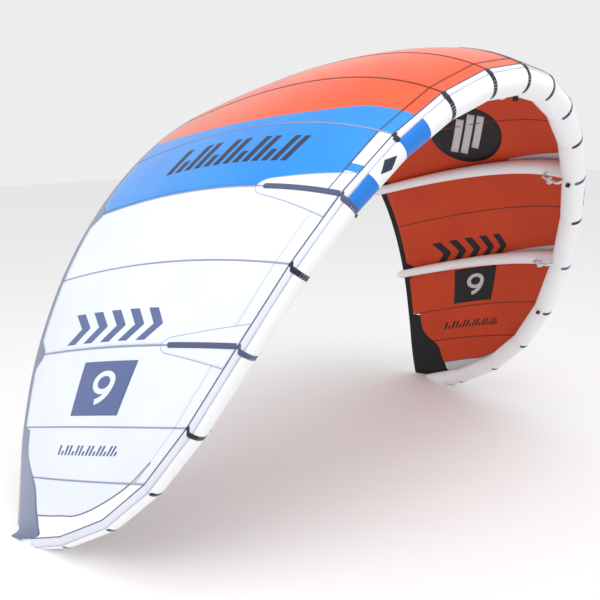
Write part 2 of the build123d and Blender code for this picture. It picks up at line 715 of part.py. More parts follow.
def build_valve():
    """Inflation valve: base, check disc and hinged cap."""
    plane = valve_plane()
    hinge_height = NECK_HEIGHT + CAP_GAP + CAP_THICKNESS / 2
    ear_offset = CAP_KNUCKLE_HALF + SIDE_CLEARANCE + CAP_EAR / 2
    with BuildPart(plane.offset(-NECK_DEPTH)) as base:
        Cylinder(NECK_RADIUS, NECK_DEPTH + NECK_HEIGHT, align=(Align.CENTER, Align.CENTER, Align.MIN))
        Cylinder(FLANGE_RADIUS, FLANGE_THICKNESS, align=(Align.CENTER, Align.CENTER, Align.MIN))
        with Locations((0, 0, NECK_DEPTH + COLLAR_LIFT)):
            Cylinder(
                COLLAR_RADIUS, COLLAR_THICKNESS, align=(Align.CENTER, Align.CENTER, Align.MIN)
            )
        Cylinder(
            NECK_BORE,
            NECK_DEPTH + NECK_HEIGHT,
            align=(Align.CENTER, Align.CENTER, Align.MIN),
            mode=Mode.SUBTRACT,
        )
        with Locations((0, 0, NECK_DEPTH - SEAT_DEPTH - SEAT_THICKNESS)):
            Cylinder(NECK_BORE, SEAT_THICKNESS, align=(Align.CENTER, Align.CENTER, Align.MIN))
            Cylinder(
                SEAT_OPENING,
                SEAT_THICKNESS,
                align=(Align.CENTER, Align.CENTER, Align.MIN),
                mode=Mode.SUBTRACT,
            )
            Box(
                2 * SEAT_OPENING,
                CROSSBAR_WIDTH,
                SEAT_THICKNESS,
                align=(Align.CENTER, Align.CENTER, Align.MIN),
            )
            Cylinder(
                STEM_RADIUS + PIN_CLEARANCE,
                SEAT_THICKNESS,
                align=(Align.CENTER, Align.CENTER, Align.MIN),
                mode=Mode.SUBTRACT,
            )
        ear_bottom = NECK_DEPTH + COLLAR_LIFT
        ear_top = NECK_DEPTH + hinge_height
        for offset in (ear_offset, -ear_offset):
            with Locations((offset, CAP_HINGE_Y, (ear_bottom + ear_top) / 2)):
                Box(CAP_EAR, 2 * CAP_KNUCKLE_RADIUS, ear_top - ear_bottom)
            with Locations(Location((offset, CAP_HINGE_Y, ear_top), (0, 90, 0))):
                Cylinder(CAP_KNUCKLE_RADIUS, CAP_EAR)
        with Locations(Location((0, CAP_HINGE_Y, ear_top), (0, 90, 0))):
            Cylinder(CAP_PIN_RADIUS, 2 * ear_offset)
    save(base.part, "valve_base")

    disc_top = -SEAT_DEPTH - SEAT_THICKNESS - DISC_GAP
    with BuildPart(plane.offset(disc_top - DISC_THICKNESS)) as disc:
        Cylinder(DISC_RADIUS, DISC_THICKNESS, align=(Align.CENTER, Align.CENTER, Align.MIN))
        Cylinder(
            STEM_RADIUS,
            DISC_THICKNESS + STEM_HEIGHT,
            align=(Align.CENTER, Align.CENTER, Align.MIN),
        )
    save(disc.part, "valve_check_disc")

    arm = abs(CAP_HINGE_Y)
    with BuildPart(plane.offset(NECK_HEIGHT + CAP_GAP)) as cap:
        Cylinder(CAP_RADIUS, CAP_THICKNESS, align=(Align.CENTER, Align.CENTER, Align.MIN))
        with Locations((0, -arm / 2, 0)):
            Box(
                2 * CAP_KNUCKLE_HALF,
                arm,
                CAP_THICKNESS,
                align=(Align.CENTER, Align.CENTER, Align.MIN),
            )
        with Locations((0, 0, -PLUG_DEPTH)):
            Cylinder(PLUG_RADIUS, PLUG_DEPTH, align=(Align.CENTER, Align.CENTER, Align.MIN))
        with Locations(Location((0, CAP_HINGE_Y, CAP_THICKNESS / 2), (0, 90, 0))):
            Cylinder(CAP_KNUCKLE_RADIUS, 2 * CAP_KNUCKLE_HALF)
            Cylinder(
                CAP_PIN_RADIUS + PIN_CLEARANCE, 3 * CAP_KNUCKLE_HALF, mode=Mode.SUBTRACT
            )
    save(cap.part, "valve_cap")


def loop_plane(rib):
    """Plane of a webbing loop under the tube: x towards the tube, z to the back."""
    down = rib.around(LOOP_ANGLE)
    down = (down - rib.tube_axis * down.dot(rib.tube_axis)).normalized()
    origin = rib.centre + down * (rib.radius + LOOP_REACH)
    to_back = rib.tube_axis.cross(down)
    if to_back.dot(rib.back) < 0:
        to_back = to_back * -1
    return Plane(origin, x_dir=down * -1, z_dir=to_back)


def build_loops():
    """Webbing loops for the leash, the front lines and the rear lines."""
    groups = {
        "leash_loop": [SIDES["right"][0]],
        "front_line_loops": [ribs[j] for ribs in SIDES.values() for j in FRONT_LOOP_JOINTS],
        "rear_line_loops": [ribs[LAST_RIB] for ribs in SIDES.values()],
    }
    foot = LOOP_REACH - LOOP_FOOT_GAP
    for name, ribs in groups.items():
        with BuildPart() as loops:
            for rib in ribs:
                with BuildSketch(loop_plane(rib)):
                    Circle(EYE_RADIUS + WEBBING)
                    with Locations((foot / 2, 0)):
                        Rectangle(foot, LOOP_NECK)
                    Circle(EYE_RADIUS, mode=Mode.SUBTRACT)
                extrude(amount=LOOP_WIDTH / 2, both=True)
        save(loops.part, name)


build_cloth()
build_casings()
build_bladder()
build_joint_bands()
build_load_strips()
for strut_name, strut_side, strut_joint in strut_places():
    build_strut(strut_name, strut_side, strut_joint)
    build_hose(strut_name, strut_side, strut_joint)
build_clips()
build_valve()
build_loops()
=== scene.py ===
"""Nine-square-metre inflatable kite: cloth, seams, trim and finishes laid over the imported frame.

Metres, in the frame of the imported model: X along the span, Y from the leading edge to the
trailing edge and Z up. A place on the cloth is a joint number, counted from the middle of
the leading edge, and a share of the rib's curve, from the leading edge to the trailing edge.
"""

import logging
import math
from dataclasses import dataclass, field
from enum import Enum
from typing import Sequence

import bmesh
import bpy
import numpy as np
from mathutils import Matrix, Vector


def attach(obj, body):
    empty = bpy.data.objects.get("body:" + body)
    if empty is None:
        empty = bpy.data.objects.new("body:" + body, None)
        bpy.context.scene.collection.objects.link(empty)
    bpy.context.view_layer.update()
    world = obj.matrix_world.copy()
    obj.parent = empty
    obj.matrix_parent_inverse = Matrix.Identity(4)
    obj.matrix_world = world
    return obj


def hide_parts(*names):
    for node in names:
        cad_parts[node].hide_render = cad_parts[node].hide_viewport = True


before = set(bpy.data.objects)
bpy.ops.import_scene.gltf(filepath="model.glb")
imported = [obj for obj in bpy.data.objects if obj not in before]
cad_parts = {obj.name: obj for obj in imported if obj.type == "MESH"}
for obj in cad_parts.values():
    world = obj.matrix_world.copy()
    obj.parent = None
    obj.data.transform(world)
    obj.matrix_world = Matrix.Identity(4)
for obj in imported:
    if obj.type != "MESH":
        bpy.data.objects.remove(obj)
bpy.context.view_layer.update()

log = logging.getLogger("kite")
Array = np.ndarray
Outline = Sequence[tuple[float, float]]


# Design
class Side(Enum):
    """Half of the kite, with the sign of its X coordinates."""

    LEFT = -1
    RIGHT = 1

    @property
    def label(self) -> str:
        """The side's name inside piece names."""
        return self.name.lower()


class Face(Enum):
    """Face of the cloth: OUTER is the convex side of the arch, INNER the hollow one."""

    OUTER = 1
    INNER = -1


@dataclass(frozen=True)
class Planform:
    """Driving sizes of the arch and its ribs, in metres and degrees."""

    half_arc: float = 3.132
    centre_chord: float = 1.777
    panel_shares: tuple[float, ...] = (4.4, 4.7, 5.1, 5.5, 5.7, 6.5, 6.9, 5.6, 4.7, 3.9, 3.0, 0.7)
    arch_end_angle: float = 74.5
    arch_power: float = 2.55
    tip_flare: float = 19.0
    tip_flare_power: float = 14.0
    arch_sweep: float = 1.045
    arch_sweep_power: float = 1.7
    tip_sweep: float = 0.815
    tip_sweep_power: float = 8.5
    chord_taper: float = 0.36
    chord_taper_power: float = 1.9
    tip_chord_share: float = 0.03
    tip_taper_power: float = 7.0
    toe_out: float = 27.0
    toe_ease: float = 12.0
    wash_out: float = 4.2
    wash_spread: float = 150.0
    centre_radius: float = 0.068
    outer_radius: float = 0.056
    radius_power: float = 1.5
    tip_radius: float = 0.025
    loop_reach: float = 0.016
    tip: int = 12
    last_rib: int = 11

    def shares(self) -> list[float]:
        """Return each joint's share of the half arc."""
        total = sum(self.panel_shares)
        return [sum(self.panel_shares[:count]) / total for count in range(self.tip + 1)]

    def arch_angle(self, share: float) -> float:
        """Return the slope of the arch in radians at a share of the half arc."""
        steep = self.arch_end_angle * (1 - (1 - min(share, 1.0)) ** self.arch_power)
        return math.radians(steep - self.tip_flare * share**self.tip_flare_power)

    def centre(self, share: float, steps: int = 300) -> Array:
        """Return the tube's centre at a share of the half arc, on the +X side.

        Args:
            share: share of the half arc.
            steps: steps to add up.

        Returns:
            The tube's centre at a share of the half arc, on the +X side.
        """
        angles = [self.arch_angle(share * (step + 0.5) / steps) for step in range(steps)]
        stride = share * self.half_arc / steps
        swept = self.arch_sweep * share**self.arch_sweep_power
        swept += self.tip_sweep * share**self.tip_sweep_power
        down = sum(math.sin(angle) for angle in angles) * stride
        across = sum(math.cos(angle) for angle in angles) * stride
        return np.array([across, swept, self.centre_radius + self.loop_reach - down])

    def chord(self, share: float) -> float:
        """Return the distance from the tube's centre to the trailing edge.

        Args:
            share: share of the half arc.

        Returns:
            The distance from the tube's centre to the trailing edge.
        """
        tip_loss = 1 - self.chord_taper - self.tip_chord_share
        gentle = self.chord_taper * share**self.chord_taper_power
        return self.centre_chord * (1 - gentle - tip_loss * share**self.tip_taper_power)

    def radius(self, joint: int, share: float) -> float:
        """Return the tube's outside radius at a joint.

        Args:
            joint: the joint number.
            share: share of the half arc.

        Returns:
            The tube's outside radius at a joint.
        """
        if joint == self.tip:
            return self.tip_radius
        taper = (1 - share) ** self.radius_power
        return self.outer_radius + (self.centre_radius - self.outer_radius) * taper


@dataclass(frozen=True)
class Section:
    """Sizes of the cloth's curve behind the tube, in metres and degrees."""

    tangent_angle: float = 118.0
    front_handle: float = 0.20
    back_handle_along: float = 0.45
    back_handle_height: float = 0.13
    cloth_lift: float = 0.0037
    tip_lift: float = 0.007


def unit(vector: Array) -> Array:
    """Return the vector at length one."""
    return vector / np.linalg.norm(vector)


def smooth_step(value: Array) -> Array:
    """Return an ease from 0 to 1 of a value held between them."""
    held = np.clip(value, 0.0, 1.0)
    return held * held * (3 - 2 * held)


def through(points: Outline, at: Array) -> Array:
    """Return a smooth curve's heights: it passes through points given as (place, height).

    Args:
        points: the places and heights that the curve passes through.
        at: the places to read.

    Returns:
        A smooth curve's heights: it passes through points given as (place, height).
    """
    places, heights = np.array(points, float).T
    slopes = np.gradient(heights, places)
    at = np.clip(np.asarray(at, float), places[0], places[-1])
    index = np.clip(np.searchsorted(places, at) - 1, 0, len(places) - 2)
    gap = places[index + 1] - places[index]
    t = (at - places[index]) / gap
    start, end = heights[index], heights[index + 1]
    rise_in, rise_out = slopes[index] * gap, slopes[index + 1] * gap
    blend = t * t * (3 - 2 * t)
    return start + (end - start) * blend + t * (1 - t) ** 2 * rise_in - t * t * (1 - t) * rise_out


@dataclass(frozen=True)
class Rib:
    """A joint of the leading edge and the section behind it."""

    centre: Array
    back: Array
    outward: Array
    axis: Array
    chord: float
    radius: float
    over_tube: bool

    def around(self, angle: float) -> Array:
        """Return a direction in the section, up from the chord line, in degrees."""
        turn = math.radians(angle)
        return self.back * math.cos(turn) + self.outward * math.sin(turn)

    def ring_axes(self) -> tuple[Array, Array]:
        """Return the two directions of the tube's mitred ring: back and outward.

        Returns:
            The two directions of the tube's mitred ring: back and outward.
        """
        back = unit(self.back - self.axis * self.back.dot(self.axis))
        outward = self.outward - self.axis * self.outward.dot(self.axis)
        return back, unit(outward - back * outward.dot(back))

    def handles(self, section: Section) -> Array:
        """Return the four handles of the cloth's outer curve in space.

        Args:
            section: the cloth section's sizes.

        Returns:
            The four handles of the cloth's outer curve in space.
        """
        lift = section.cloth_lift + (section.tip_lift if self.over_tube else 0.0)
        direction = self.around(section.tangent_angle)
        along_axis = direction.dot(self.axis)
        reach = (self.radius + lift) / math.sqrt(1 - along_axis**2)
        from_axis = direction - self.axis * along_axis
        run, rise = from_axis.dot(self.outward), -from_axis.dot(self.back)
        handle = section.front_handle * self.chord / math.hypot(run, rise)
        angle = math.radians(section.tangent_angle)
        start = (reach * math.cos(angle), reach * math.sin(angle))
        height = self.radius + lift if self.over_tube else 0.0
        flat = (
            start,
            (start[0] + run * handle, start[1] + rise * handle),
            (
                section.back_handle_along * self.chord,
                section.back_handle_height * self.chord + height,
            ),
            (self.chord, height),
        )
        return np.array([self.centre + self.back * x + self.outward * y for x, y in flat])


@dataclass
class Wing:
    """One half of the kite: its ribs, and the cloth and the tube that they carry."""

    side: Side
    plan: Planform = field(default_factory=Planform)
    section: Section = field(default_factory=Section)
    ribs: list[Rib] = field(init=False)
    handles: Array = field(init=False)
    walked: Array = field(init=False)
    joint_step: float = 0.01
    hem_width: float = 0.048
    wedge_reach: float = 0.075
    wedge_joints: tuple[int, ...] = (0, 2, 4, 6)
    strip_width: float = 0.072
    tip_edge: Outline = (
        (7.0, 0.95), (7.6, 0.93), (7.85, 0.90), (8.1, 0.86), (9.12, 0.75), (9.83, 0.58), (10.4, 0.24),
        (10.72, 0.0),
    )
    seam_edge: Outline = ((0, 7.6), (0.05, 8.1), (0.16, 8.6), (0.28, 8.86), (0.6, 9.03), (1, 9.15))
    seam_marks: tuple[float, ...] = (0, 0.03, 0.1, 0.2, 0.35, 0.6, 1)
    widest_strip: float = 0.16
    wedge_flat: float = 0.05
    wedge_slope: float = 0.14

    def __post_init__(self) -> None:
        """Work out the ribs and the handles of their curves."""
        shares = self.plan.shares()
        centres = [self.plan.centre(share) for share in shares]
        self.ribs = [self._rib(joint, shares, centres) for joint in range(len(shares))]
        self.handles = np.array([rib.handles(self.section) for rib in self.ribs])
        self.walked = np.array([self.curve_length(step * self.joint_step) for step in range(1200)])

    def _rib(self, joint: int, shares: list[float], centres: list[Array]) -> Rib:
        """Return one rib.

        Args:
            joint: its number, from the middle of the leading edge.
            shares: each joint's share of the half arc.
            centres: each joint's place on the +X side.
        """
        plan, share = self.plan, shares[joint]
        slope = plan.arch_angle(share)
        tangent = np.array([math.cos(slope), 0.0, -math.sin(slope)])
        normal = np.array([math.sin(slope), 0.0, math.cos(slope)])
        toe = math.radians(plan.toe_out * share - plan.toe_ease * share**4)
        wash = math.radians(plan.wash_out * math.sin(math.radians(plan.wash_spread * share)) ** 2)
        back = np.array([0.0, 1.0, 0.0]) * math.cos(toe) + tangent * math.sin(toe)
        back = back * math.cos(wash) + normal * math.sin(wash)
        outward = unit(normal - back * normal.dot(back))
        axis = np.array([1.0, 0.0, 0.0])
        if joint:
            before = unit(centres[joint] - centres[joint - 1])
            after = unit(centres[joint + 1] - centres[joint]) if joint < plan.tip else before
            axis = unit(before + after)
        mirror = np.array([self.side.value, 1.0, 1.0])
        return Rib(
            centres[joint] * mirror,
            back * mirror,
            outward * mirror,
            axis * mirror,
            plan.chord(share),
            plan.radius(joint, share),
            joint >= plan.last_rib,
        )

    def _handles_at(self, joints: Array) -> Array:
        """Return curve handles at joint numbers with fractions: straight along the tube,
        smooth behind it.

        Args:
            joints: joint numbers, with fractions.

        Returns:
            Curve handles at joint numbers with fractions: straight along the tube, smooth behind
            it.
        """
        mirrored = self.handles[1] * np.array([-1.0, 1.0, 1.0])
        beyond = 2 * self.handles[-1] - self.handles[-2]
        rows = np.concatenate([[mirrored], self.handles, [beyond]])
        first = np.clip(np.floor(joints).astype(int), 0, self.plan.tip - 1)
        t = (joints - first)[..., None, None]
        a, b, c, d = (rows[first + step] for step in range(4))
        smooth = 0.5 * (2 * b + (c - a) * t + (2 * a - 5 * b + 4 * c - d) * t**2)
        smooth += 0.5 * (3 * b - a - 3 * c + d) * t**3
        smooth[..., 0, :] = (b * (1 - t) + c * t)[..., 0, :]
        return smooth

    def bare(self, joints: Array, shares: Array) -> Array:
        """Return points of the cloth's outer face at joint numbers and curve shares.

        Args:
            joints: joint numbers, with fractions.
            shares: shares of the curve.

        Returns:
            Points of the cloth's outer face at joint numbers and curve shares.
        """
        joints, shares = np.broadcast_arrays(np.asarray(joints, float), np.asarray(shares, float))
        h = self._handles_at(np.abs(joints))
        s = shares[..., None]
        flat = h[..., 0, :] * (1 - s) ** 3 + 3 * h[..., 1, :] * s * (1 - s) ** 2
        flat = flat + 3 * h[..., 2, :] * s * s * (1 - s) + h[..., 3, :] * s**3
        return flat * np.where(joints < 0, -1.0, 1.0)[..., None] ** np.array([1, 0, 0])

    def normal(self, joints: Array, shares: Array) -> Array:
        """Return outward unit normals of the cloth.

        Args:
            joints: joint numbers, with fractions.
            shares: shares of the curve.

        Returns:
            Outward unit normals of the cloth.
        """
        joints, shares = np.broadcast_arrays(np.asarray(joints, float), np.asarray(shares, float))
        step = 1e-3
        across = self.bare(joints + step, shares) - self.bare(joints - step, shares)
        along = self.bare(joints, shares + step) - self.bare(joints, shares - step)
        normals = np.cross(across, along) * self.side.value
        return normals / np.linalg.norm(normals, axis=-1, keepdims=True)

    def cloth(self, joints: Array, shares: Array, lift: float | Array = 0.0) -> Array:
        """Return points at a lift off the cloth's outer face."""
        lift = np.asarray(lift, float)[..., None]
        return self.bare(joints, shares) + self.normal(joints, shares) * lift

    def tube(self, joints: Array, angles: Array, lift: float | Array = 0.0) -> Array:
        """Return points around the leading-edge tube.

        Args:
            joints: joint numbers with fractions, negative past the middle.
            angles: degrees around the tube, from the back over the outer side.
            lift: distance off the tube's wall.
        """
        joints, angles, lift = np.broadcast_arrays(
            np.asarray(joints, float), np.asarray(angles, float), np.asarray(lift, float)
        )
        first = np.clip(np.floor(np.abs(joints)).astype(int), 0, self.plan.tip - 1)
        t = (np.abs(joints) - first)[..., None]
        turn = np.radians(angles)[..., None]
        rings = [rib.ring_axes() for rib in self.ribs]
        backs = np.array([ring[0] for ring in rings])
        outs = np.array([ring[1] for ring in rings])
        centres = np.array([rib.centre for rib in self.ribs])
        radii = np.array([rib.radius for rib in self.ribs])[:, None]
        ends = []
        for rib in (first, first + 1):
            reach = radii[rib] + lift[..., None]
            ends.append(centres[rib] + reach * (backs[rib] * np.cos(turn) + outs[rib] * np.sin(turn)))
        points = ends[0] * (1 - t) + ends[1] * t
        return points * np.where(joints < 0, -1.0, 1.0)[..., None] ** np.array([1, 0, 0])

    def tube_centre(self, joints: Array) -> Array:
        """Return points on the tube's centre line."""
        return (self.tube(joints, 0.0) + self.tube(joints, 180.0)) / 2

    def curve_length(self, joint: float, steps: int = 200) -> Array:
        """Return the walked length at evenly spaced shares of the curve at a joint number."""
        line = self.bare(np.full(steps, joint), np.linspace(0, 1, steps))
        return np.concatenate([[0.0], np.cumsum(np.linalg.norm(np.diff(line, axis=0), axis=1))])

    def share_at(self, joint: float, distance: float) -> float:
        """Return the share of the curve at a distance from its front, or from its back if below 0.

        Args:
            joint: the joint number.
            distance: the distance in metres.

        Returns:
            The share of the curve at a distance from its front, or from its back if below 0.
        """
        walked = self.walked[min(round(abs(joint) / self.joint_step), len(self.walked) - 1)]
        wanted = distance if distance >= 0 else walked[-1] + distance
        return float(np.interp(wanted, walked, np.linspace(0, 1, len(walked))))

    def spacing(self, joint: float, share: float) -> float:
        """Return the width of cloth from half a joint before to half a joint after."""
        ends = self.bare(np.array([joint - 0.5, joint + 0.5]), np.array([share, share]))
        return float(np.linalg.norm(ends[1] - ends[0]))

    def strip_edge(self, joints: Array) -> Array:
        """Return the share where the closure strip ends.

        Args:
            joints: joint numbers, with fractions.

        Returns:
            The share where the closure strip ends.
        """
        flat = np.atleast_1d(np.abs(joints)).ravel()
        found = np.array([self.share_at(float(j), self.strip_width) for j in flat])
        found = np.minimum(found, self.widest_strip).reshape(np.shape(joints))
        return np.minimum(found, np.maximum(self.hem_edge(joints) - 1e-3, 1e-3))

    def hem_edge(self, joints: Array) -> Array:
        """Return the share where the trailing-edge band begins.

        Args:
            joints: joint numbers, with fractions.

        Returns:
            The share where the trailing-edge band begins.
        """
        flat = np.atleast_1d(np.abs(joints)).ravel()
        found = []
        for joint in flat:
            near = min(abs(joint - strut) for strut in self.wedge_joints)
            wedge = float(np.clip(1 - (near - self.wedge_flat) / self.wedge_slope, 0, 1))
            share = self.share_at(float(joint), -(self.hem_width + self.wedge_reach * wedge))
            if joint > self.tip_edge[0][0]:
                share = min(share, float(through(self.tip_edge, joint)))
            found.append(share)
        return np.array(found).reshape(np.shape(joints))

    def tip_seam(self, across: Array) -> Array:
        """Return the joint numbers of the canopy's seam with the tip panel, across the chord."""
        return through(self.seam_edge, across)

    def seam_outline(self, lowest: float = 0.0) -> Outline:
        """Return the tip panel's seam as an edge that keeps above a lowest joint number."""
        return tuple((mark, max(lowest, float(self.tip_seam(mark)))) for mark in self.seam_marks)

    def between(self, joints: Array, across: Array) -> Array:
        """Return shares at a fraction of the canopy, from its closure strip to its hem."""
        start, end = self.strip_edge(joints), self.hem_edge(joints)
        return start + (end - start) * across


# Shader groups
def linear(colour: Sequence[float]) -> tuple[float, float, float, float]:
    """Return a colour given in screen values from 0 to 255 as the shader's linear values.

    Args:
        colour: red, green and blue.

    Returns:
        A colour given in screen values from 0 to 255 as the shader's linear values.
    """
    shares = [value / 255 for value in colour]
    values = [s / 12.92 if s <= 0.04045 else ((s + 0.055) / 1.055) ** 2.4 for s in shares]
    return (*values, 1.0)


@dataclass
class Nodes:
    """A node tree and short ways to fill it."""

    tree: bpy.types.NodeTree

    def add(self, kind: str, inputs: dict | None = None, **settings: object) -> bpy.types.Node:
        """Add a node.

        Args:
            kind: its type name.
            inputs: values or sockets, by input name or number.
            **settings: its properties.

        Returns:
            The new node.
        """
        node = self.tree.nodes.new(kind)
        for key, value in settings.items():
            setattr(node, key, value)
        for key, value in (inputs or {}).items():
            if isinstance(value, bpy.types.NodeSocket):
                self.tree.links.new(value, node.inputs[key])
            else:
                node.inputs[key].default_value = value
        return node

    def math(self, operation: str, first: object, second: object = 0.0) -> bpy.types.NodeSocket:
        """Add a Math node and return its result."""
        return self.add("ShaderNodeMath", {0: first, 1: second}, operation=operation).outputs[0]

    def blend(self, factor: object, first: object, second: object) -> bpy.types.NodeSocket:
        """Add a colour Mix node, whose colour sockets lie after its number ones, and return its colour."""
        return self.add("ShaderNodeMix", {0: factor, 6: first, 7: second}, data_type="RGBA").outputs[2]


def new_group(
    name: str, inputs: Sequence[tuple[str, str, object]], outputs: Sequence[tuple[str, str]]
) -> tuple[Nodes, dict[str, bpy.types.NodeSocket], bpy.types.Node]:
    """Start a shader node group.

    Args:
        name: its name.
        inputs: name, socket type and value of each input.
        outputs: name and socket type of each output.

    Returns:
        Its nodes, its input sockets by name, and its output node.
    """
    tree = bpy.data.node_groups.new(name, "ShaderNodeTree")
    for label, kind, value in inputs:
        socket = tree.interface.new_socket(label, in_out="INPUT", socket_type=kind)
        if value is not None:
            socket.default_value = value
    for label, kind in outputs:
        tree.interface.new_socket(label, in_out="OUTPUT", socket_type=kind)
    nodes = Nodes(tree)
    start, end = nodes.add("NodeGroupInput"), nodes.add("NodeGroupOutput")
    return nodes, {socket.name: socket for socket in start.outputs}, end


FLOAT, COLOUR, VECTOR = "NodeSocketFloat", "NodeSocketColor", "NodeSocketVector"


def weave_group() -> bpy.types.NodeTree:
    """Build the cloth weave: yarns, a ripstop grid of heavier yarns, and their heights.

    Returns:
        A group that puts out a yarn mask, a grid mask and a height.
    """
    nodes, given, end = new_group(
        "cloth_weave",
        (
            ("Vector", VECTOR, None),
            ("Yarn", FLOAT, 0.0012),
            ("Grid", FLOAT, 0.006),
            ("Grid Width", FLOAT, 0.12),
        ),
        (("Yarns", FLOAT), ("Grid Lines", FLOAT), ("Height", FLOAT)),
    )
    split = nodes.add("ShaderNodeSeparateXYZ", {0: given["Vector"]})
    waves, lines = [], []
    for axis in ("X", "Y"):
        turns = nodes.math("DIVIDE", split.outputs[axis], given["Yarn"])
        waves.append(nodes.math("SINE", nodes.math("MULTIPLY", turns, 2 * math.pi)))
        cell = nodes.math("FRACT", nodes.math("DIVIDE", split.outputs[axis], given["Grid"]))
        centred = nodes.math("ABSOLUTE", nodes.math("SUBTRACT", cell, 0.5))
        half = nodes.math("MULTIPLY", given["Grid Width"], 0.5)
        lines.append(nodes.math("LESS_THAN", centred, half))
    crossed = nodes.math("MULTIPLY", waves[0], waves[1])
    yarns = nodes.math("ADD", nodes.math("MULTIPLY", crossed, 0.5), 0.5)
    grid = nodes.math("MAXIMUM", lines[0], lines[1])
    height = nodes.math("ADD", nodes.math("MULTIPLY", yarns, 0.4), grid)
    for label, value in (("Yarns", yarns), ("Grid Lines", grid), ("Height", height)):
        nodes.tree.links.new(value, end.inputs[label])
    return nodes.tree


def handling_group() -> bpy.types.NodeTree:
    """Build what folding and use leave on cloth: crinkles, soft clouds of tone and creases.

    Returns:
        A group that puts out a crinkle height, a tone and a rub mask.
    """
    nodes, given, end = new_group(
        "cloth_handling",
        (
            ("Vector", VECTOR, None),
            ("Crinkle Scale", FLOAT, 9.0),
            ("Turn", FLOAT, 0.9),
            ("Cloud Scale", FLOAT, 2.2),
        ),
        (("Crinkles", FLOAT), ("Tone", FLOAT), ("Rub", FLOAT)),
    )
    turned = nodes.add(
        "ShaderNodeVectorRotate",
        {"Vector": given["Vector"], "Angle": given["Turn"]},
        rotation_type="Z_AXIS",
    )
    drawn = nodes.add("ShaderNodeMapping", {"Vector": turned.outputs[0], "Scale": (1.0, 7.0, 1.0)})
    crinkle = nodes.add(
        "ShaderNodeTexNoise",
        {"Vector": drawn.outputs[0], "Scale": given["Crinkle Scale"], "Detail": 3.0, "Roughness": 0.55},
    )
    cloud = nodes.add(
        "ShaderNodeTexNoise",
        {"Vector": given["Vector"], "Scale": given["Cloud Scale"], "Detail": 2.0, "Roughness": 0.5},
    )
    fine = nodes.add("ShaderNodeTexNoise", {"Vector": given["Vector"], "Scale": 60.0, "Detail": 4.0})
    rub = nodes.add("ShaderNodeMapRange", {"Value": fine.outputs[0], "From Min": 0.62, "From Max": 0.75})
    links = nodes.tree.links
    links.new(crinkle.outputs[0], end.inputs["Crinkles"])
    links.new(cloud.outputs[0], end.inputs["Tone"])
    links.new(rub.outputs[0], end.inputs["Rub"])
    return nodes.tree


def moulded_group() -> bpy.types.NodeTree:
    """Build the fine grain and the rubbed spots of moulded plastic and rubber.

    Returns:
        A group that puts out a grain and spots.
    """
    nodes, given, end = new_group(
        "moulded_surface",
        (("Vector", VECTOR, None), ("Grain Scale", FLOAT, 900.0), ("Spot Scale", FLOAT, 70.0)),
        (("Grain", FLOAT), ("Spots", FLOAT)),
    )
    for scale, detail, result in (("Grain Scale", 2.0, "Grain"), ("Spot Scale", 3.0, "Spots")):
        noise = nodes.add(
            "ShaderNodeTexNoise", {"Vector": given["Vector"], "Scale": given[scale], "Detail": detail}
        )
        nodes.tree.links.new(noise.outputs[0], end.inputs[result])
    return nodes.tree


# Finishes
@dataclass(frozen=True)
class Finish:
    """What every finish has: a name, a colour, and the shade that it varies towards."""

    name: str
    colour: tuple[int, int, int]
    shade: tuple[int, int, int]

    def material(self) -> bpy.types.Material:
        """Return the finish as a material.

        Returns:
            The material, made on first use.
        """
        if self.name in bpy.data.materials:
            return bpy.data.materials[self.name]
        made = bpy.data.materials.new(self.name)
        made.use_nodes = True
        nodes = Nodes(made.node_tree)
        made.node_tree.nodes.clear()
        shader = self.surface(nodes)
        output = nodes.add("ShaderNodeOutputMaterial")
        made.node_tree.links.new(shader.outputs[0], output.inputs[0])
        made.diffuse_color = linear(self.colour)
        return made


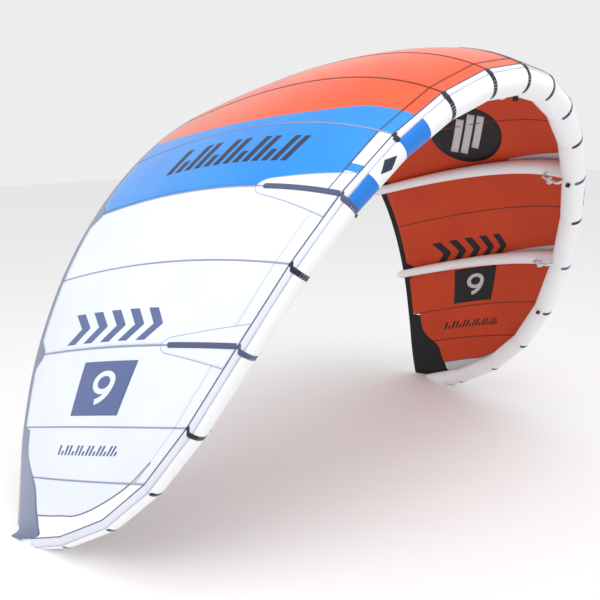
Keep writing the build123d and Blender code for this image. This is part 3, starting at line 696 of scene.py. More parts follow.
@dataclass(frozen=True)
class ClothFinish(Finish):
    """A woven or printed cloth, with its weave sizes in metres."""

    roughness: float = 0.55
    sheen: float = 0.0
    sheen_roughness: float = 0.4
    sheen_tint: tuple[int, int, int] = (255, 255, 255)
    coat: float = 0.0
    yarn: float = 0.0014
    grid: float = 0.007
    grid_width: float = 0.10
    grid_strength: float = 0.25
    crinkle: float = 0.35
    tone: float = 0.5

    def surface(self, nodes: Nodes) -> bpy.types.Node:
        """Build the finish's surface.

        Args:
            nodes: the material's nodes.

        Returns:
            The shader node.
        """
        place = nodes.add("ShaderNodeUVMap", uv_map="cloth").outputs[0]
        weave = nodes.add("ShaderNodeGroup", node_tree=group("cloth_weave"))
        handling = nodes.add("ShaderNodeGroup", node_tree=group("cloth_handling"))
        for node in (weave, handling):
            nodes.tree.links.new(place, node.inputs["Vector"])
        weave.inputs["Yarn"].default_value = self.yarn
        weave.inputs["Grid"].default_value = self.grid
        weave.inputs["Grid Width"].default_value = self.grid_width
        clouds = nodes.add(
            "ShaderNodeMapRange",
            {"Value": handling.outputs["Tone"], "From Min": 0.35, "From Max": 0.65, "To Max": self.tone},
        )
        shade = linear(self.shade)
        base = nodes.blend(clouds.outputs[0], linear(self.colour), shade)
        lines = nodes.math("MULTIPLY", weave.outputs["Grid Lines"], self.grid_strength)
        coloured = nodes.blend(lines, base, shade)
        rough = nodes.add(
            "ShaderNodeMapRange",
            {
                "Value": handling.outputs["Rub"],
                "To Min": self.roughness,
                "To Max": min(1.0, self.roughness + 0.12),
            },
        )
        crinkled = nodes.math("MULTIPLY", handling.outputs["Crinkles"], self.crinkle)
        height = nodes.math("ADD", crinkled, nodes.math("MULTIPLY", weave.outputs["Height"], 0.06))
        bump = nodes.add("ShaderNodeBump", {"Height": height, "Strength": 0.35, "Distance": 0.004})
        shader = nodes.add(
            "ShaderNodeBsdfPrincipled",
            {
                "Base Color": coloured,
                "Roughness": rough.outputs[0],
                "Normal": bump.outputs[0],
                "Sheen Weight": self.sheen,
                "Sheen Roughness": self.sheen_roughness,
                "Sheen Tint": linear(self.sheen_tint),
                "Coat Weight": self.coat,
                "Coat Roughness": 0.35,
                "Specular IOR Level": 0.4,
            },
        )
        return shader


def group(name: str) -> bpy.types.NodeTree:
    """Return a shader group by name, built on first use.

    Args:
        name: its name.

    Returns:
        A shader group by name, built on first use.
    """
    builders = {
        "cloth_weave": weave_group,
        "cloth_handling": handling_group,
        "moulded_surface": moulded_group,
    }
    return bpy.data.node_groups.get(name) or builders[name]()


@dataclass(frozen=True)
class MouldedFinish(Finish):
    """A moulded plastic, rubber or film."""

    roughness: float = 0.4
    coat: float = 0.0
    grain: float = 0.15

    def surface(self, nodes: Nodes) -> bpy.types.Node:
        """Build the finish's surface.

        Args:
            nodes: the material's nodes.

        Returns:
            The shader node.
        """
        place = nodes.add("ShaderNodeTexCoord").outputs["Object"]
        surface = nodes.add("ShaderNodeGroup", node_tree=group("moulded_surface"))
        nodes.tree.links.new(place, surface.inputs["Vector"])
        ramp = nodes.add("ShaderNodeValToRGB", {0: surface.outputs["Spots"]})
        ramp.color_ramp.elements[0].position = 0.35
        ramp.color_ramp.elements[0].color = linear(self.shade)
        ramp.color_ramp.elements[1].position = 0.65
        ramp.color_ramp.elements[1].color = linear(self.colour)
        rough = nodes.add(
            "ShaderNodeMapRange",
            {
                "Value": surface.outputs["Spots"],
                "To Min": max(0.05, self.roughness - 0.08),
                "To Max": self.roughness + 0.1,
            },
        )
        bump = nodes.add(
            "ShaderNodeBump",
            {"Height": surface.outputs["Grain"], "Strength": self.grain, "Distance": 0.0004},
        )
        shader = nodes.add(
            "ShaderNodeBsdfPrincipled",
            {
                "Base Color": ramp.outputs[0],
                "Roughness": rough.outputs[0],
                "Normal": bump.outputs[0],
                "Coat Weight": self.coat,
            },
        )
        return shader


ORANGE = ClothFinish(
    "ripstop_orange", (226, 84, 36), (205, 66, 26), 0.5, sheen=0.55, sheen_roughness=0.35, coat=0.12,
    crinkle=0.5,
)
# Darker copy of the orange for the inner face: painted shade on the hollow side.
ORANGE_INSIDE_PAINTED_SHADE = ClothFinish("ripstop_orange_inside", (205, 66, 22), (186, 54, 16), 0.7, crinkle=0.45)
BLUE = ClothFinish(
    "ripstop_blue", (22, 138, 226), (12, 120, 210), 0.5, sheen=0.35, coat=0.1, crinkle=0.5
)
# Darker copy of the blue for the inner face: painted shade on the hollow side.
BLUE_INSIDE_PAINTED_SHADE = ClothFinish("ripstop_blue_inside", (16, 104, 186), (10, 88, 168), 0.7, crinkle=0.45)
WHITE = ClothFinish(
    "ripstop_white", (226, 231, 240), (214, 220, 231), 0.5, sheen=0.1, coat=0.08, crinkle=0.4
)
# Greyer copy of the white for the inner face: painted shade on the hollow side.
WHITE_INSIDE_PAINTED_SHADE = ClothFinish("ripstop_white_inside", (200, 200, 202), (186, 187, 191), 0.7, crinkle=0.4)
SLATE = ClothFinish(
    "ripstop_slate", (98, 112, 148), (78, 90, 124), 0.5, sheen=0.5, coat=0.15, yarn=0.002, grid=0.010,
    grid_strength=0.5, crinkle=0.6, tone=0.8,
)
# The slate band's inner face, painted near black as shade.
SLATE_INSIDE_PAINTED_SHADE = ClothFinish(
    "ripstop_black_inside", (28, 26, 30), (18, 17, 20), 0.75, grid_strength=0.5, crinkle=0.4
)
DACRON = ClothFinish(
    "dacron_white", (216, 223, 237), (204, 212, 229), 0.6, sheen=0.15, yarn=0.0010, grid=0.004,
    grid_strength=0.10, crinkle=0.25, tone=0.4,
)
DACRON_BLUE = ClothFinish(
    "dacron_blue", (18, 122, 216), (12, 108, 200), 0.55, sheen=0.2, yarn=0.0010, grid=0.004,
    grid_strength=0.15, crinkle=0.3,
)
CLOSURE = ClothFinish(
    "dacron_closure", (222, 224, 234), (208, 211, 224), 0.6, yarn=0.0012, grid=0.004, grid_strength=0.15,
    crinkle=0.2,
)
# Greyer copy of the white dacron for inner faces and the right half's patches: painted shade.
DACRON_PAINTED_SHADE = ClothFinish(
    "dacron_painted_shade", (206, 208, 210), (192, 194, 198), 0.65, grid_strength=0.15
)
WEBBING_NAVY = ClothFinish(
    "webbing_navy", (27, 34, 54), (16, 20, 34), 0.62, sheen=0.25, yarn=0.0022, grid=0.0044, grid_width=0.3,
    grid_strength=0.6, crinkle=0.15,
)
WEBBING_SLATE = ClothFinish(
    "webbing_slate", (84, 94, 126), (60, 68, 98), 0.62, sheen=0.25, yarn=0.0022, grid=0.0044, grid_width=0.3,
    grid_strength=0.6, crinkle=0.15,
)
SEAM_LIGHT = ClothFinish("seam_light", (168, 176, 202), (140, 150, 182), 0.6, crinkle=0.1)
SEAM_DARK = ClothFinish("seam_dark", (96, 104, 136), (74, 82, 116), 0.6, crinkle=0.1)
SEAM_ORANGE = ClothFinish("seam_orange", (140, 52, 34), (112, 40, 28), 0.6, crinkle=0.1)
PRINT_SLATE = ClothFinish(
    "print_slate", (92, 108, 156), (76, 90, 136), 0.5, coat=0.1, grid=0.0065, grid_width=0.3, grid_strength=0.6,
    crinkle=0.4,
)
PRINT_NAVY = ClothFinish("print_navy", (44, 50, 76), (30, 34, 56), 0.5, coat=0.1, crinkle=0.4)
PRINT_BLACK = ClothFinish("print_black", (20, 19, 22), (12, 12, 14), 0.6, crinkle=0.4)
# Greyer copy of the white print for the inner face: painted shade.
PRINT_WHITE_PAINTED_SHADE = ClothFinish("print_grey", (204, 203, 204), (190, 190, 194), 0.6, crinkle=0.4)

THREAD_BLUE = MouldedFinish("thread_blue", (96, 116, 168), (66, 84, 134), 0.6)
THREAD_SLATE = MouldedFinish("thread_slate", (92, 98, 122), (66, 72, 96), 0.6)
THREAD_RUST = MouldedFinish("thread_rust", (128, 46, 30), (98, 34, 22), 0.6)
FILM = MouldedFinish("bladder_film", (226, 224, 214), (206, 204, 196), 0.22, coat=0.5)
HOSE = MouldedFinish("silicone_hose", (226, 230, 236), (204, 210, 220), 0.3, coat=0.3)
CLIP = MouldedFinish("clip_nylon", (236, 238, 242), (214, 218, 226), 0.42)
LEVER = MouldedFinish("clip_lever_nylon", (222, 226, 234), (198, 204, 216), 0.38)
VALVE = MouldedFinish("valve_urethane", (58, 64, 78), (38, 42, 54), 0.35, coat=0.2)
VALVE_CAP = MouldedFinish("valve_cap_urethane", (36, 104, 190), (22, 80, 160), 0.35, coat=0.2)
VALVE_DISC = MouldedFinish("valve_disc_silicone", (214, 210, 200), (190, 186, 176), 0.3)
LOOP = MouldedFinish("loop_webbing", (34, 38, 50), (20, 22, 32), 0.7, grain=0.6)


# Mesh making
@dataclass
class Piece:
    """A cloth piece in the making: patches of quads with finishes and flat coordinates."""

    name: str
    finishes: Sequence[ClothFinish]
    points: list[Array] = field(default_factory=list)
    faces: list[tuple[int, ...]] = field(default_factory=list)
    uvs: list[tuple[float, float]] = field(default_factory=list)
    slots: list[int] = field(default_factory=list)
    count: int = 0

    def add(self, grid: Array, outward: Array, slot: int = 0, closed: bool = False) -> None:
        """Add a patch of quads.

        Args:
            grid: points, rows by columns.
            outward: the way out at each point, or one for all.
            slot: index of the patch's finish.
            closed: whether its last column joins its first.
        """
        rows, columns = grid.shape[:2]
        outward = np.broadcast_to(outward, grid.shape)
        along = np.linalg.norm(np.diff(grid, axis=0), axis=2).mean(axis=1)
        across = np.linalg.norm(np.diff(grid, axis=1), axis=2).mean(axis=0)
        v = np.concatenate([[0.0], np.cumsum(along)])
        u = np.concatenate([[0.0], np.cumsum(across)])
        ring = columns if closed else columns - 1
        seam = float(np.linalg.norm(grid[:, 0] - grid[:, -1], axis=1).mean()) if closed else 0.0
        middle_row, middle_column = (rows - 1) // 2, (columns - 1) // 2
        a, b = grid[middle_row, middle_column], grid[middle_row, (middle_column + 1) % columns]
        c = grid[middle_row + 1, middle_column]
        flip = np.cross(b - a, c - a).dot(outward[middle_row, middle_column]) < 0
        self.points.append(grid.reshape(-1, 3))
        for row in range(rows - 1):
            for column in range(ring):
                beyond = (column + 1) % columns
                edge = u[column + 1] if column + 1 < columns else u[-1] + seam
                corners = [
                    (row * columns + column, (u[column], v[row])),
                    (row * columns + beyond, (edge, v[row])),
                    ((row + 1) * columns + beyond, (edge, v[row + 1])),
                    ((row + 1) * columns + column, (u[column], v[row + 1])),
                ]
                if flip:
                    corners.reverse()
                self.faces.append(tuple(self.count + index for index, _ in corners))
                self.uvs.extend(place for _, place in corners)
                self.slots.append(slot)
        self.count += rows * columns

    def build(self, thickness: float, inner: Sequence[ClothFinish] = ()) -> bpy.types.Object:
        """Make the object.

        Args:
            thickness: the wall under the outward face.
            inner: finishes of the inward face, one for each of the outer ones.

        Returns:
            The finished piece, closed and at the origin.
        """
        mesh = bpy.data.meshes.new(self.name)
        mesh.from_pydata(np.concatenate(self.points).tolist(), [], self.faces)
        layer = mesh.uv_layers.new(name="cloth")
        layer.data.foreach_set("uv", np.array(self.uvs, np.float32).ravel())
        mesh.polygons.foreach_set("material_index", np.array(self.slots, np.int32))
        for finish in (*self.finishes, *inner):
            mesh.materials.append(finish.material())
        work = bmesh.new()
        work.from_mesh(mesh)
        bmesh.ops.remove_doubles(work, verts=work.verts, dist=2e-5)
        bmesh.ops.dissolve_degenerate(work, edges=work.edges, dist=1e-6)
        work.to_mesh(mesh)
        work.free()
        piece = bpy.data.objects.new(self.name, mesh)
        bpy.context.scene.collection.objects.link(piece)
        if thickness:
            wall = piece.modifiers.new("wall", "SOLIDIFY")
            wall.thickness = thickness
            wall.offset = -1.0
            wall.use_even_offset = False
            wall.material_offset = len(self.finishes) if inner else 0
            made_plain(piece)
        piece.data.polygons.foreach_set("use_smooth", np.ones(len(piece.data.polygons), bool))
        return piece


def made_plain(piece: bpy.types.Object) -> None:
    """Replace a piece's mesh by its evaluated one and remove its modifiers.

    Args:
        piece: the piece.
    """
    graph = bpy.context.evaluated_depsgraph_get()
    mesh = bpy.data.meshes.new_from_object(piece.evaluated_get(graph))
    piece.modifiers.clear()
    piece.data = mesh


def settle(piece: bpy.types.Object, slot: str, *nodes: str, body: str = "root") -> bpy.types.Object:
    """Make a finished piece ride, and hide the CAD nodes that it stands for.

    Args:
        piece: the finished object.
        slot: the record's material slot; not used.
        *nodes: CAD nodes that it replaces.
        body: the body that it rides on.

    Returns:
        The piece.
    """
    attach(piece, body)
    if nodes:
        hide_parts(*nodes)
    log.info("%s: %d faces", piece.name, len(piece.data.polygons))
    return piece


def steps_between(start: float, end: float, stride: float, stops: Sequence[float] = ()) -> Array:
    """Return places from start to end, at most a stride apart, that include the stops.

    Args:
        start: the first place.
        end: the last place.
        stride: the widest step.
        stops: places to include.

    Returns:
        Places from start to end, at most a stride apart, that include the stops.
    """
    low, high = min(start, end), max(start, end)
    marks = sorted({low, high, *(stop for stop in stops if low < stop < high)})
    places: list[float] = []
    for first, last in zip(marks, marks[1:]):
        count = max(1, math.ceil((last - first) / stride - 1e-9))
        places += [first + (last - first) * step / count for step in range(count)]
    return np.array([*places, high])


WINGS: dict[Side, Wing] = {side: Wing(side) for side in Side}
CLOTH = 0.0009
WEDGE_STOPS = tuple(j + d for j in (0, 2, 4, 6) for d in (-0.19, -0.05, 0.0, 0.05, 0.19))


@dataclass(frozen=True)
class Zone:
    """Region of cloth between two edges that run from the leading to the trailing edge.

    Edges are given as (fraction across the canopy, joint).
    """

    low: Outline
    high: Outline
    finish: int = 0

    def places(self, wing: Wing, across: Array, along: Array) -> tuple[Array, Array]:
        """Return joint numbers and curve shares of a grid of the region.

        Args:
            wing: the half of the kite.
            across: fractions from the low to the high edge.
            along: fractions from the front to the back.

        Returns:
            Joint numbers and curve shares of a grid of the region.
        """
        fraction = across[None, :]
        depth = np.broadcast_to(along[:, None], (len(along), len(across)))
        low, high = through(self.low, depth), through(self.high, depth)
        joints = low + (high - low) * fraction
        return joints, wing.between(joints, depth)


def straight(joint: float) -> Outline:
    """Return an edge that keeps to one joint number."""
    return ((0, joint), (1, joint))


def flat_cut(grid: Array) -> tuple[tuple[float, float], float]:
    """Return the width, length and area of the flat cut of a taut sheet, from its grid.

    Args:
        grid: its points, rows by columns.

    Returns:
        The width, length and area of the flat cut of a taut sheet, from its grid.
    """
    rows = np.linalg.norm(np.diff(grid, axis=1), axis=2).sum(axis=1)
    columns = np.linalg.norm(np.diff(grid, axis=0), axis=2).sum(axis=0)
    diagonals = grid[1:, 1:] - grid[:-1, :-1], grid[1:, :-1] - grid[:-1, 1:]
    area = float(np.linalg.norm(np.cross(*diagonals), axis=2).sum()) / 2
    width, length = float(rows.max()), float(columns.max())
    return (round(width, 3), round(length, 3)), round(area, 4)


# Cloth
@dataclass
class Canopy:
    """The canopy's sewn bays, one sheet for each."""

    bays: tuple[tuple[int, int], ...] = ((0, 2), (2, 4), (4, 6), (6, 8), (8, 11))
    colour_edge: Outline = ((0, 2.55), (0.13, 2.6), (0.3, 2.76), (0.62, 2.84), (0.85, 2.74), (1, 2.6))
    stride: float = 0.05
    rows: int = 64

    def _zones(self, wing: Wing, first: int, last: int) -> list[Zone]:
        """Return the coloured regions of one bay.

        Args:
            wing: the half of the kite.
            first: the first joint.
            last: the last joint.

        Returns:
            The coloured regions of one bay.
        """
        if wing.side is Side.LEFT and first == 2:
            return [Zone(straight(2), self.colour_edge, 0), Zone(self.colour_edge, straight(4), 1)]
        high = wing.seam_outline() if last == wing.plan.last_rib else straight(last)
        return [Zone(straight(first), high, 0)]

    def _finishes(self, wing: Wing, first: int) -> tuple[list[ClothFinish], list[ClothFinish]]:
        """Return the outer finishes of one bay, and inner ones that are darker copies of them painted as shade.

        Args:
            wing: the half of the kite.
            first: the first joint.

        Returns:
            The outer and inner finishes of one bay.
        """
        # The inner finishes are darker copies of the outer cloths: painted shade on the hollow side.
        if wing.side is Side.LEFT and first >= 4:
            return [WHITE], [WHITE_INSIDE_PAINTED_SHADE]
        if wing.side is Side.LEFT and first == 2:
            return [ORANGE, BLUE], [ORANGE_INSIDE_PAINTED_SHADE, BLUE_INSIDE_PAINTED_SHADE]
        return [ORANGE], [ORANGE_INSIDE_PAINTED_SHADE]

    def build(self, wing: Wing) -> None:
        """Build the bays of one half.

        Args:
            wing: the half of the kite.
        """
        slots = {ORANGE.name: "canopy_orange", BLUE.name: "canopy_blue", WHITE.name: "canopy_white"}
        for number, (first, last) in enumerate(self.bays, start=1):
            outer, inner = self._finishes(wing, first)
            piece = Piece(f"canopy_cloth_{wing.side.label}_{number}", outer)
            sizes, areas = [], 0.0
            along = np.linspace(0, 1, self.rows + 1)
            for zone in self._zones(wing, first, last):
                count = math.ceil((last - first) / self.stride / len(outer))
                across = np.linspace(0, 1, count + 1)
                if first != 8 and len(outer) == 1:
                    across = (steps_between(first, last, self.stride, WEDGE_STOPS) - first) / (last - first)
                joints, shares = zone.places(wing, across, along)
                grid = wing.cloth(joints, shares)
                piece.add(grid, wing.normal(joints, shares), zone.finish)
                size, area = flat_cut(grid)
                sizes.append(size)
                areas += area
            cloth = piece.build(CLOTH, inner)
            settle(cloth, slots[outer[-1].name], f"canopy_{wing.side.label}_{number}")


@dataclass
class FrontCloth:
    """The closure strip behind the tube and the tip panel."""

    flap_angle: float = 17.0
    flap_rows: int = 5
    rows: int = 8
    stride: float = 0.05
    colour_stops: tuple[float, ...] = (2.55, 3.0, 3.54, 3.66)
    seam_lift: float = 0.0010

    def wrap(self, wing: Wing, joints: Array) -> Array:
        """Return rows of cloth from the seam on the tube to just before the curve's front.

        Args:
            wing: the half of the kite.
            joints: joint numbers, with fractions.

        Returns:
            Rows of cloth from the seam on the tube to just before the curve's front.
        """
        start = wing.section.tangent_angle + self.flap_angle
        rows = []
        for step in range(self.flap_rows):
            part = step / self.flap_rows
            rise = wing.section.cloth_lift - self.seam_lift
            lift = self.seam_lift + rise * float(smooth_step(np.array(part)))
            rows.append(wing.tube(joints, start - self.flap_angle * part, lift))
        return np.array(rows)

    def _strip(
        self, wing: Wing, piece: Piece, low: float, high: float, finish: int
    ) -> tuple[tuple[float, float], float]:
        """Add the strip between two joint numbers, and return its cut and area.

        Args:
            wing: the half of the kite.
            piece: the piece.
            low: the lower joint number.
            high: the higher joint number.
            finish: index of the finish.

        Returns:
            The strip's width and length, and its area.
        """
        joints = steps_between(low, high, self.stride, WEDGE_STOPS)
        shares = wing.strip_edge(joints)[None, :] * np.linspace(0, 1, self.rows + 1)[:, None]
        front = self.wrap(wing, joints)
        body = wing.cloth(np.broadcast_to(joints, shares.shape), shares)
        outward = wing.normal(joints, np.full_like(joints, 0.01))
        piece.add(np.concatenate([front, body[:2]]), outward, 0)
        piece.add(body[1:], outward, finish)
        return flat_cut(np.concatenate([front, body]))

    def build(self, wing: Wing) -> None:
        """Build the front cloth of one half.

        Args:
            wing: the half of the kite.
        """
        label = wing.side.label
        outer = [CLOSURE, ORANGE, BLUE, WHITE]
        # The inner face takes darker copies of the outer cloths, painted shade on the hollow side.
        inner = [WHITE_INSIDE_PAINTED_SHADE, ORANGE_INSIDE_PAINTED_SHADE, BLUE_INSIDE_PAINTED_SHADE, WHITE_INSIDE_PAINTED_SHADE]
        strip = Piece(f"closure_strip_cloth_{label}", outer)
        marks = (0.0, *self.colour_stops, 8.0)
        colours = (1, 2, 3, 2, 3) if wing.side is Side.LEFT else (1, 1, 1, 1, 1)
        long = wide = 0.0
        for low, high, colour in zip(marks, marks[1:], colours):
            size, _ = self._strip(wing, strip, low, high, colour)
            long, wide = long + size[0], max(wide, size[1])
        cloth = strip.build(CLOTH, inner)
        settle(cloth, "dacron_white", f"closure_strip_{label}")

        panel = Piece(f"tip_panel_cloth_{label}", [CLOSURE, DACRON])
        end = wing.tip_edge[-1][0]
        size, front_area = self._strip(wing, panel, 8.0, end - 0.02, 1)
        across, along = np.linspace(0, 1, 40), np.linspace(0, 1, 40)
        zone = Zone(wing.seam_outline(8.0), straight(end - 0.02))
        joints, shares = zone.places(wing, across, along)
        grid = wing.cloth(joints, shares)
        panel.add(grid, wing.normal(joints, shares), 1)
        # The tip panel's inner face is a darker copy of its dacron, painted shade.
        cloth = panel.build(CLOTH, [DACRON_PAINTED_SHADE, DACRON_PAINTED_SHADE])
        settle(cloth, "dacron_white", f"tip_panel_{label}")


@dataclass
class TrailingEdge:
    """The dark band along the trailing edge, with its wedges at the struts and its tip panel."""

    rows: int = 10
    stride: float = 0.05

    def build(self, wing: Wing) -> None:
        """Build the band and the tip patch of one half.

        Args:
            wing: the half of the kite.
        """
        label, end = wing.side.label, wing.tip_edge[-1][0]
        stops = (*WEDGE_STOPS, *(place for place, _ in wing.tip_edge))
        joints = steps_between(0.0, end, self.stride, stops)
        start = wing.hem_edge(joints)[None, :]
        part = np.linspace(0, 1, self.rows + 1)[:, None]
        shares = start + (1 - start) * part
        grid = wing.cloth(np.broadcast_to(joints, shares.shape), shares)
        outward = wing.normal(np.broadcast_to(joints, shares.shape), shares)
        band = Piece(f"trailing_edge_cloth_{label}", [SLATE])
        band.add(grid, outward)
        size, area = flat_cut(grid)
        tip = Piece(f"tip_patch_cloth_{label}", [SLATE])
        for piece, low, high in ((band, end, 11.0), (tip, 11.0, 12.0)):
            spots = steps_between(low, high, self.stride)
            rows = np.linspace(0.0, 1.0, self.rows + 1)[:, None]
            places = np.broadcast_to(spots, (self.rows + 1, len(spots)))
            rows = np.broadcast_to(rows, places.shape)
            patch = wing.cloth(places, rows)
            piece.add(patch, wing.normal(places, rows))
            cut, more = flat_cut(patch)
            if piece is band:
                area += more
        # The band's and the tip patch's inner faces are their slate cloth painted near black as shade.
        cloth = band.build(CLOTH, [SLATE_INSIDE_PAINTED_SHADE])
        settle(cloth, "dacron_slate", f"trailing_edge_band_{label}")
        cloth = tip.build(CLOTH, [SLATE_INSIDE_PAINTED_SHADE])
        settle(cloth, "dacron_slate", f"tip_patch_{label}")


# Inflated parts
@dataclass
class LeadingEdge:
    """The tube's casing, cut in straight panels that meet at mitred seams."""

    groups: tuple[tuple[str, int, int], ...] = (("inner", 0, 4), ("middle", 4, 8), ("tip", 8, 12))
    blue_panels: tuple[tuple[float, float], ...] = ((2.5, 3.0), (3.56, 4.0))
    around: int = 96
    wall: float = 0.0012
    pucker: float = 0.0011
    pucker_reach: float = 0.05
    puckers: int = 34
    belly: float = 0.0012
    dome: Outline = (
        (0.0, 1.0), (0.25, 0.965), (0.45, 0.88), (0.65, 0.74), (0.82, 0.54), (0.95, 0.28), (1.0, 0.03),
    )
    stops: tuple[float, ...] = (-0.10, -0.05, -0.025, -0.008, 0, 0.008, 0.025, 0.05, 0.10)

    def _lift(self, joints: Array, angles: Array) -> Array:
        """Return how far the cloth bulges or puckers off a plain tube.

        Args:
            joints: joint numbers, with fractions.
            angles: degrees around the tube.

        Returns:
            How far the cloth bulges or puckers off a plain tube.
        """
        part = joints - np.floor(joints)
        near = np.minimum(part, 1 - part)
        belly = self.belly * np.sin(np.pi * part) ** 0.5
        wave = np.cos(np.radians(angles) * self.puckers + 2.1 * np.round(joints))
        fade = np.exp(-((near / self.pucker_reach) ** 2)) * np.clip(near / 0.008, 0, 1)
        return belly + self.pucker * wave * fade - 0.0006 * (near < 0.004)

    def _panel(self, piece: Piece, wing: Wing, low: float, high: float, slot: int) -> None:
        """Add the casing between two joint numbers.

        Args:
            piece: the piece.
            wing: the half of the kite.
            low: the lower joint number.
            high: the higher joint number.
            slot: index of the finish.
        """
        stops = [joint + step for joint in range(wing.plan.tip + 1) for step in self.stops]
        joints = steps_between(low, high, 0.12, stops)[:, None]
        angles = (np.arange(self.around) * 360 / self.around)[None, :]
        grid = wing.tube(joints, angles, self._lift(*np.broadcast_arrays(joints, angles)))
        centre = wing.tube_centre(np.broadcast_to(joints, (len(joints), self.around)))
        piece.add(grid, grid - centre, slot, closed=True)

    def _tip(self, piece: Piece, wing: Wing) -> None:
        """Add the rounded end.

        Args:
            piece: the piece.
            wing: the half of the kite.
        """
        rib = wing.ribs[-1]
        back, outward = rib.ring_axes()
        turn = np.radians(np.arange(self.around) * 360 / self.around)[:, None]
        ring = back * np.cos(turn) + outward * np.sin(turn)
        rows = [
            rib.centre + rib.axis * rib.radius * reach + ring * rib.radius * share
            for reach, share in self.dome
        ]
        grid = np.array(rows)
        piece.add(grid, grid - rib.centre, 0, closed=True)

    def build(self, wing: Wing) -> None:
        """Build the casings of one half.

        Args:
            wing: the half of the kite.
        """
        for name, first, last in self.groups:
            piece = Piece(f"leading_edge_cloth_{wing.side.label}_{name}", [DACRON, DACRON_BLUE])
            marks = [float(first), float(last)]
            if wing.side is Side.LEFT and first == 0:
                marks = sorted({0.0, 4.0, *(edge for panel in self.blue_panels for edge in panel)})
            for low, high in zip(marks, marks[1:]):
                blue = (low, high) in self.blue_panels and wing.side is Side.LEFT
                self._panel(piece, wing, low, high, int(blue))
            if last == wing.plan.tip:
                self._tip(piece, wing)
            cloth = piece.build(self.wall)
            settle(cloth, "dacron_white", f"leading_edge_casing_{wing.side.label}_{name}")


@dataclass
class Strut:
    """An inflated strut's casing under one rib, with its rounded rear end."""

    name: str
    side: Side
    joint: int
    front_radius: float = 0.050
    rear_radius: float = 0.030
    start: float = 0.035
    gap: float = 0.0041
    nose: float = 0.042
    steps: int = 44
    around: int = 64
    wall: float = 0.0012
    seams: tuple[float, ...] = (0.36, 0.70)
    dome: Outline = (
        (0.12, 0.995), (0.3, 0.95), (0.5, 0.85), (0.7, 0.69), (0.86, 0.48), (0.96, 0.25), (1.0, 0.03),
    )

    def ring(self, wing: Wing, share: float, past: float = 0.0, shrink: float = 1.0) -> tuple[Array, Array]:
        """Return a ring of points and its centre.

        Args:
            wing: the half that it belongs to.
            share: share of the rib's curve.
            past: distance past that place, along the curve's tangent.
            shrink: its radius as a share of the strut's.
        """
        joint = float(self.joint)
        radius = self.front_radius + (self.rear_radius - self.front_radius) * share
        normal = wing.normal(joint, share)
        tangent = unit(wing.bare(joint, share + 1e-3) - wing.bare(joint, share - 1e-3))
        across = np.cross(normal, tangent)
        centre = wing.bare(joint, share) - normal * (self.gap + radius) + tangent * past
        tuck = 0.0009 * sum(math.exp(-(((share - seam) / 0.004) ** 2)) for seam in self.seams)
        turn = np.radians(np.arange(self.around) * 360 / self.around)[:, None]
        reach = radius * shrink - tuck
        return centre + reach * (normal * np.cos(turn) + across * np.sin(turn)), centre

    def build(self) -> None:
        """Build the casing."""
        wing = WINGS[self.side]
        shares = steps_between(self.start, 1.0, (1 - self.start) / self.steps, [
            seam + d for seam in self.seams for d in (-0.008, -0.003, 0.0, 0.003, 0.008)
        ])
        rings = [self.ring(wing, float(share)) for share in shares]
        rings += [self.ring(wing, 1.0, reach * self.nose, size) for reach, size in self.dome]
        grid = np.array([ring for ring, _ in rings])
        centres = np.array([centre for _, centre in rings])[:, None, :]
        piece = Piece(f"strut_cloth_{self.name}", [DACRON])
        piece.add(grid, grid - centres, 0, closed=True)
        cloth = piece.build(self.wall)
        settle(cloth, "dacron_white", f"strut_casing_{self.name}")


STRUTS = (
    Strut("centre", Side.RIGHT, 0),
    Strut("left_inner", Side.LEFT, 4),
    Strut("left_outer", Side.LEFT, 6),
    Strut("right_inner", Side.RIGHT, 4),
    Strut("right_outer", Side.RIGHT, 6),
)


# Trim
def off_face(face: Face, lift: float) -> float:
    """Return a signed lift off the cloth's outer side that clears the named face."""
    return lift if face is Face.OUTER else -CLOTH - lift


def ribbon(wing: Wing, joints: Array, shares: Array, width: float, lift: float) -> tuple[Array, Array]:
    """Return a strip of points along a line on the cloth, and the ways out of it.

    Args:
        wing: the half that it lies on.
        joints: joint numbers of the line's points.
        shares: curve shares of the line's points.
        width: the strip's width.
        lift: signed lift off the cloth's outer side.
    """
    line = wing.bare(joints, shares)
    normals = wing.normal(joints, shares)
    tangents = np.gradient(line, axis=0)
    sides = np.cross(normals, tangents)
    sides /= np.linalg.norm(sides, axis=1, keepdims=True)
    offsets = np.linspace(-width / 2, width / 2, 5)[:, None, None]
    grid = line + offsets * sides + normals * lift
    sign = 1.0 if lift > 0 else -1.0
    return grid, np.broadcast_to(normals * sign, grid.shape)


def rounded_line(length: float, radius: float, count: int = 12) -> Array:
    """Return places along a length, closer together near both round ends."""
    ends = radius * (1 - np.cos(np.linspace(0, np.pi / 2, 7)))
    return np.concatenate([ends, np.linspace(radius, length - radius, count)[1:-1], length - ends[::-1]])


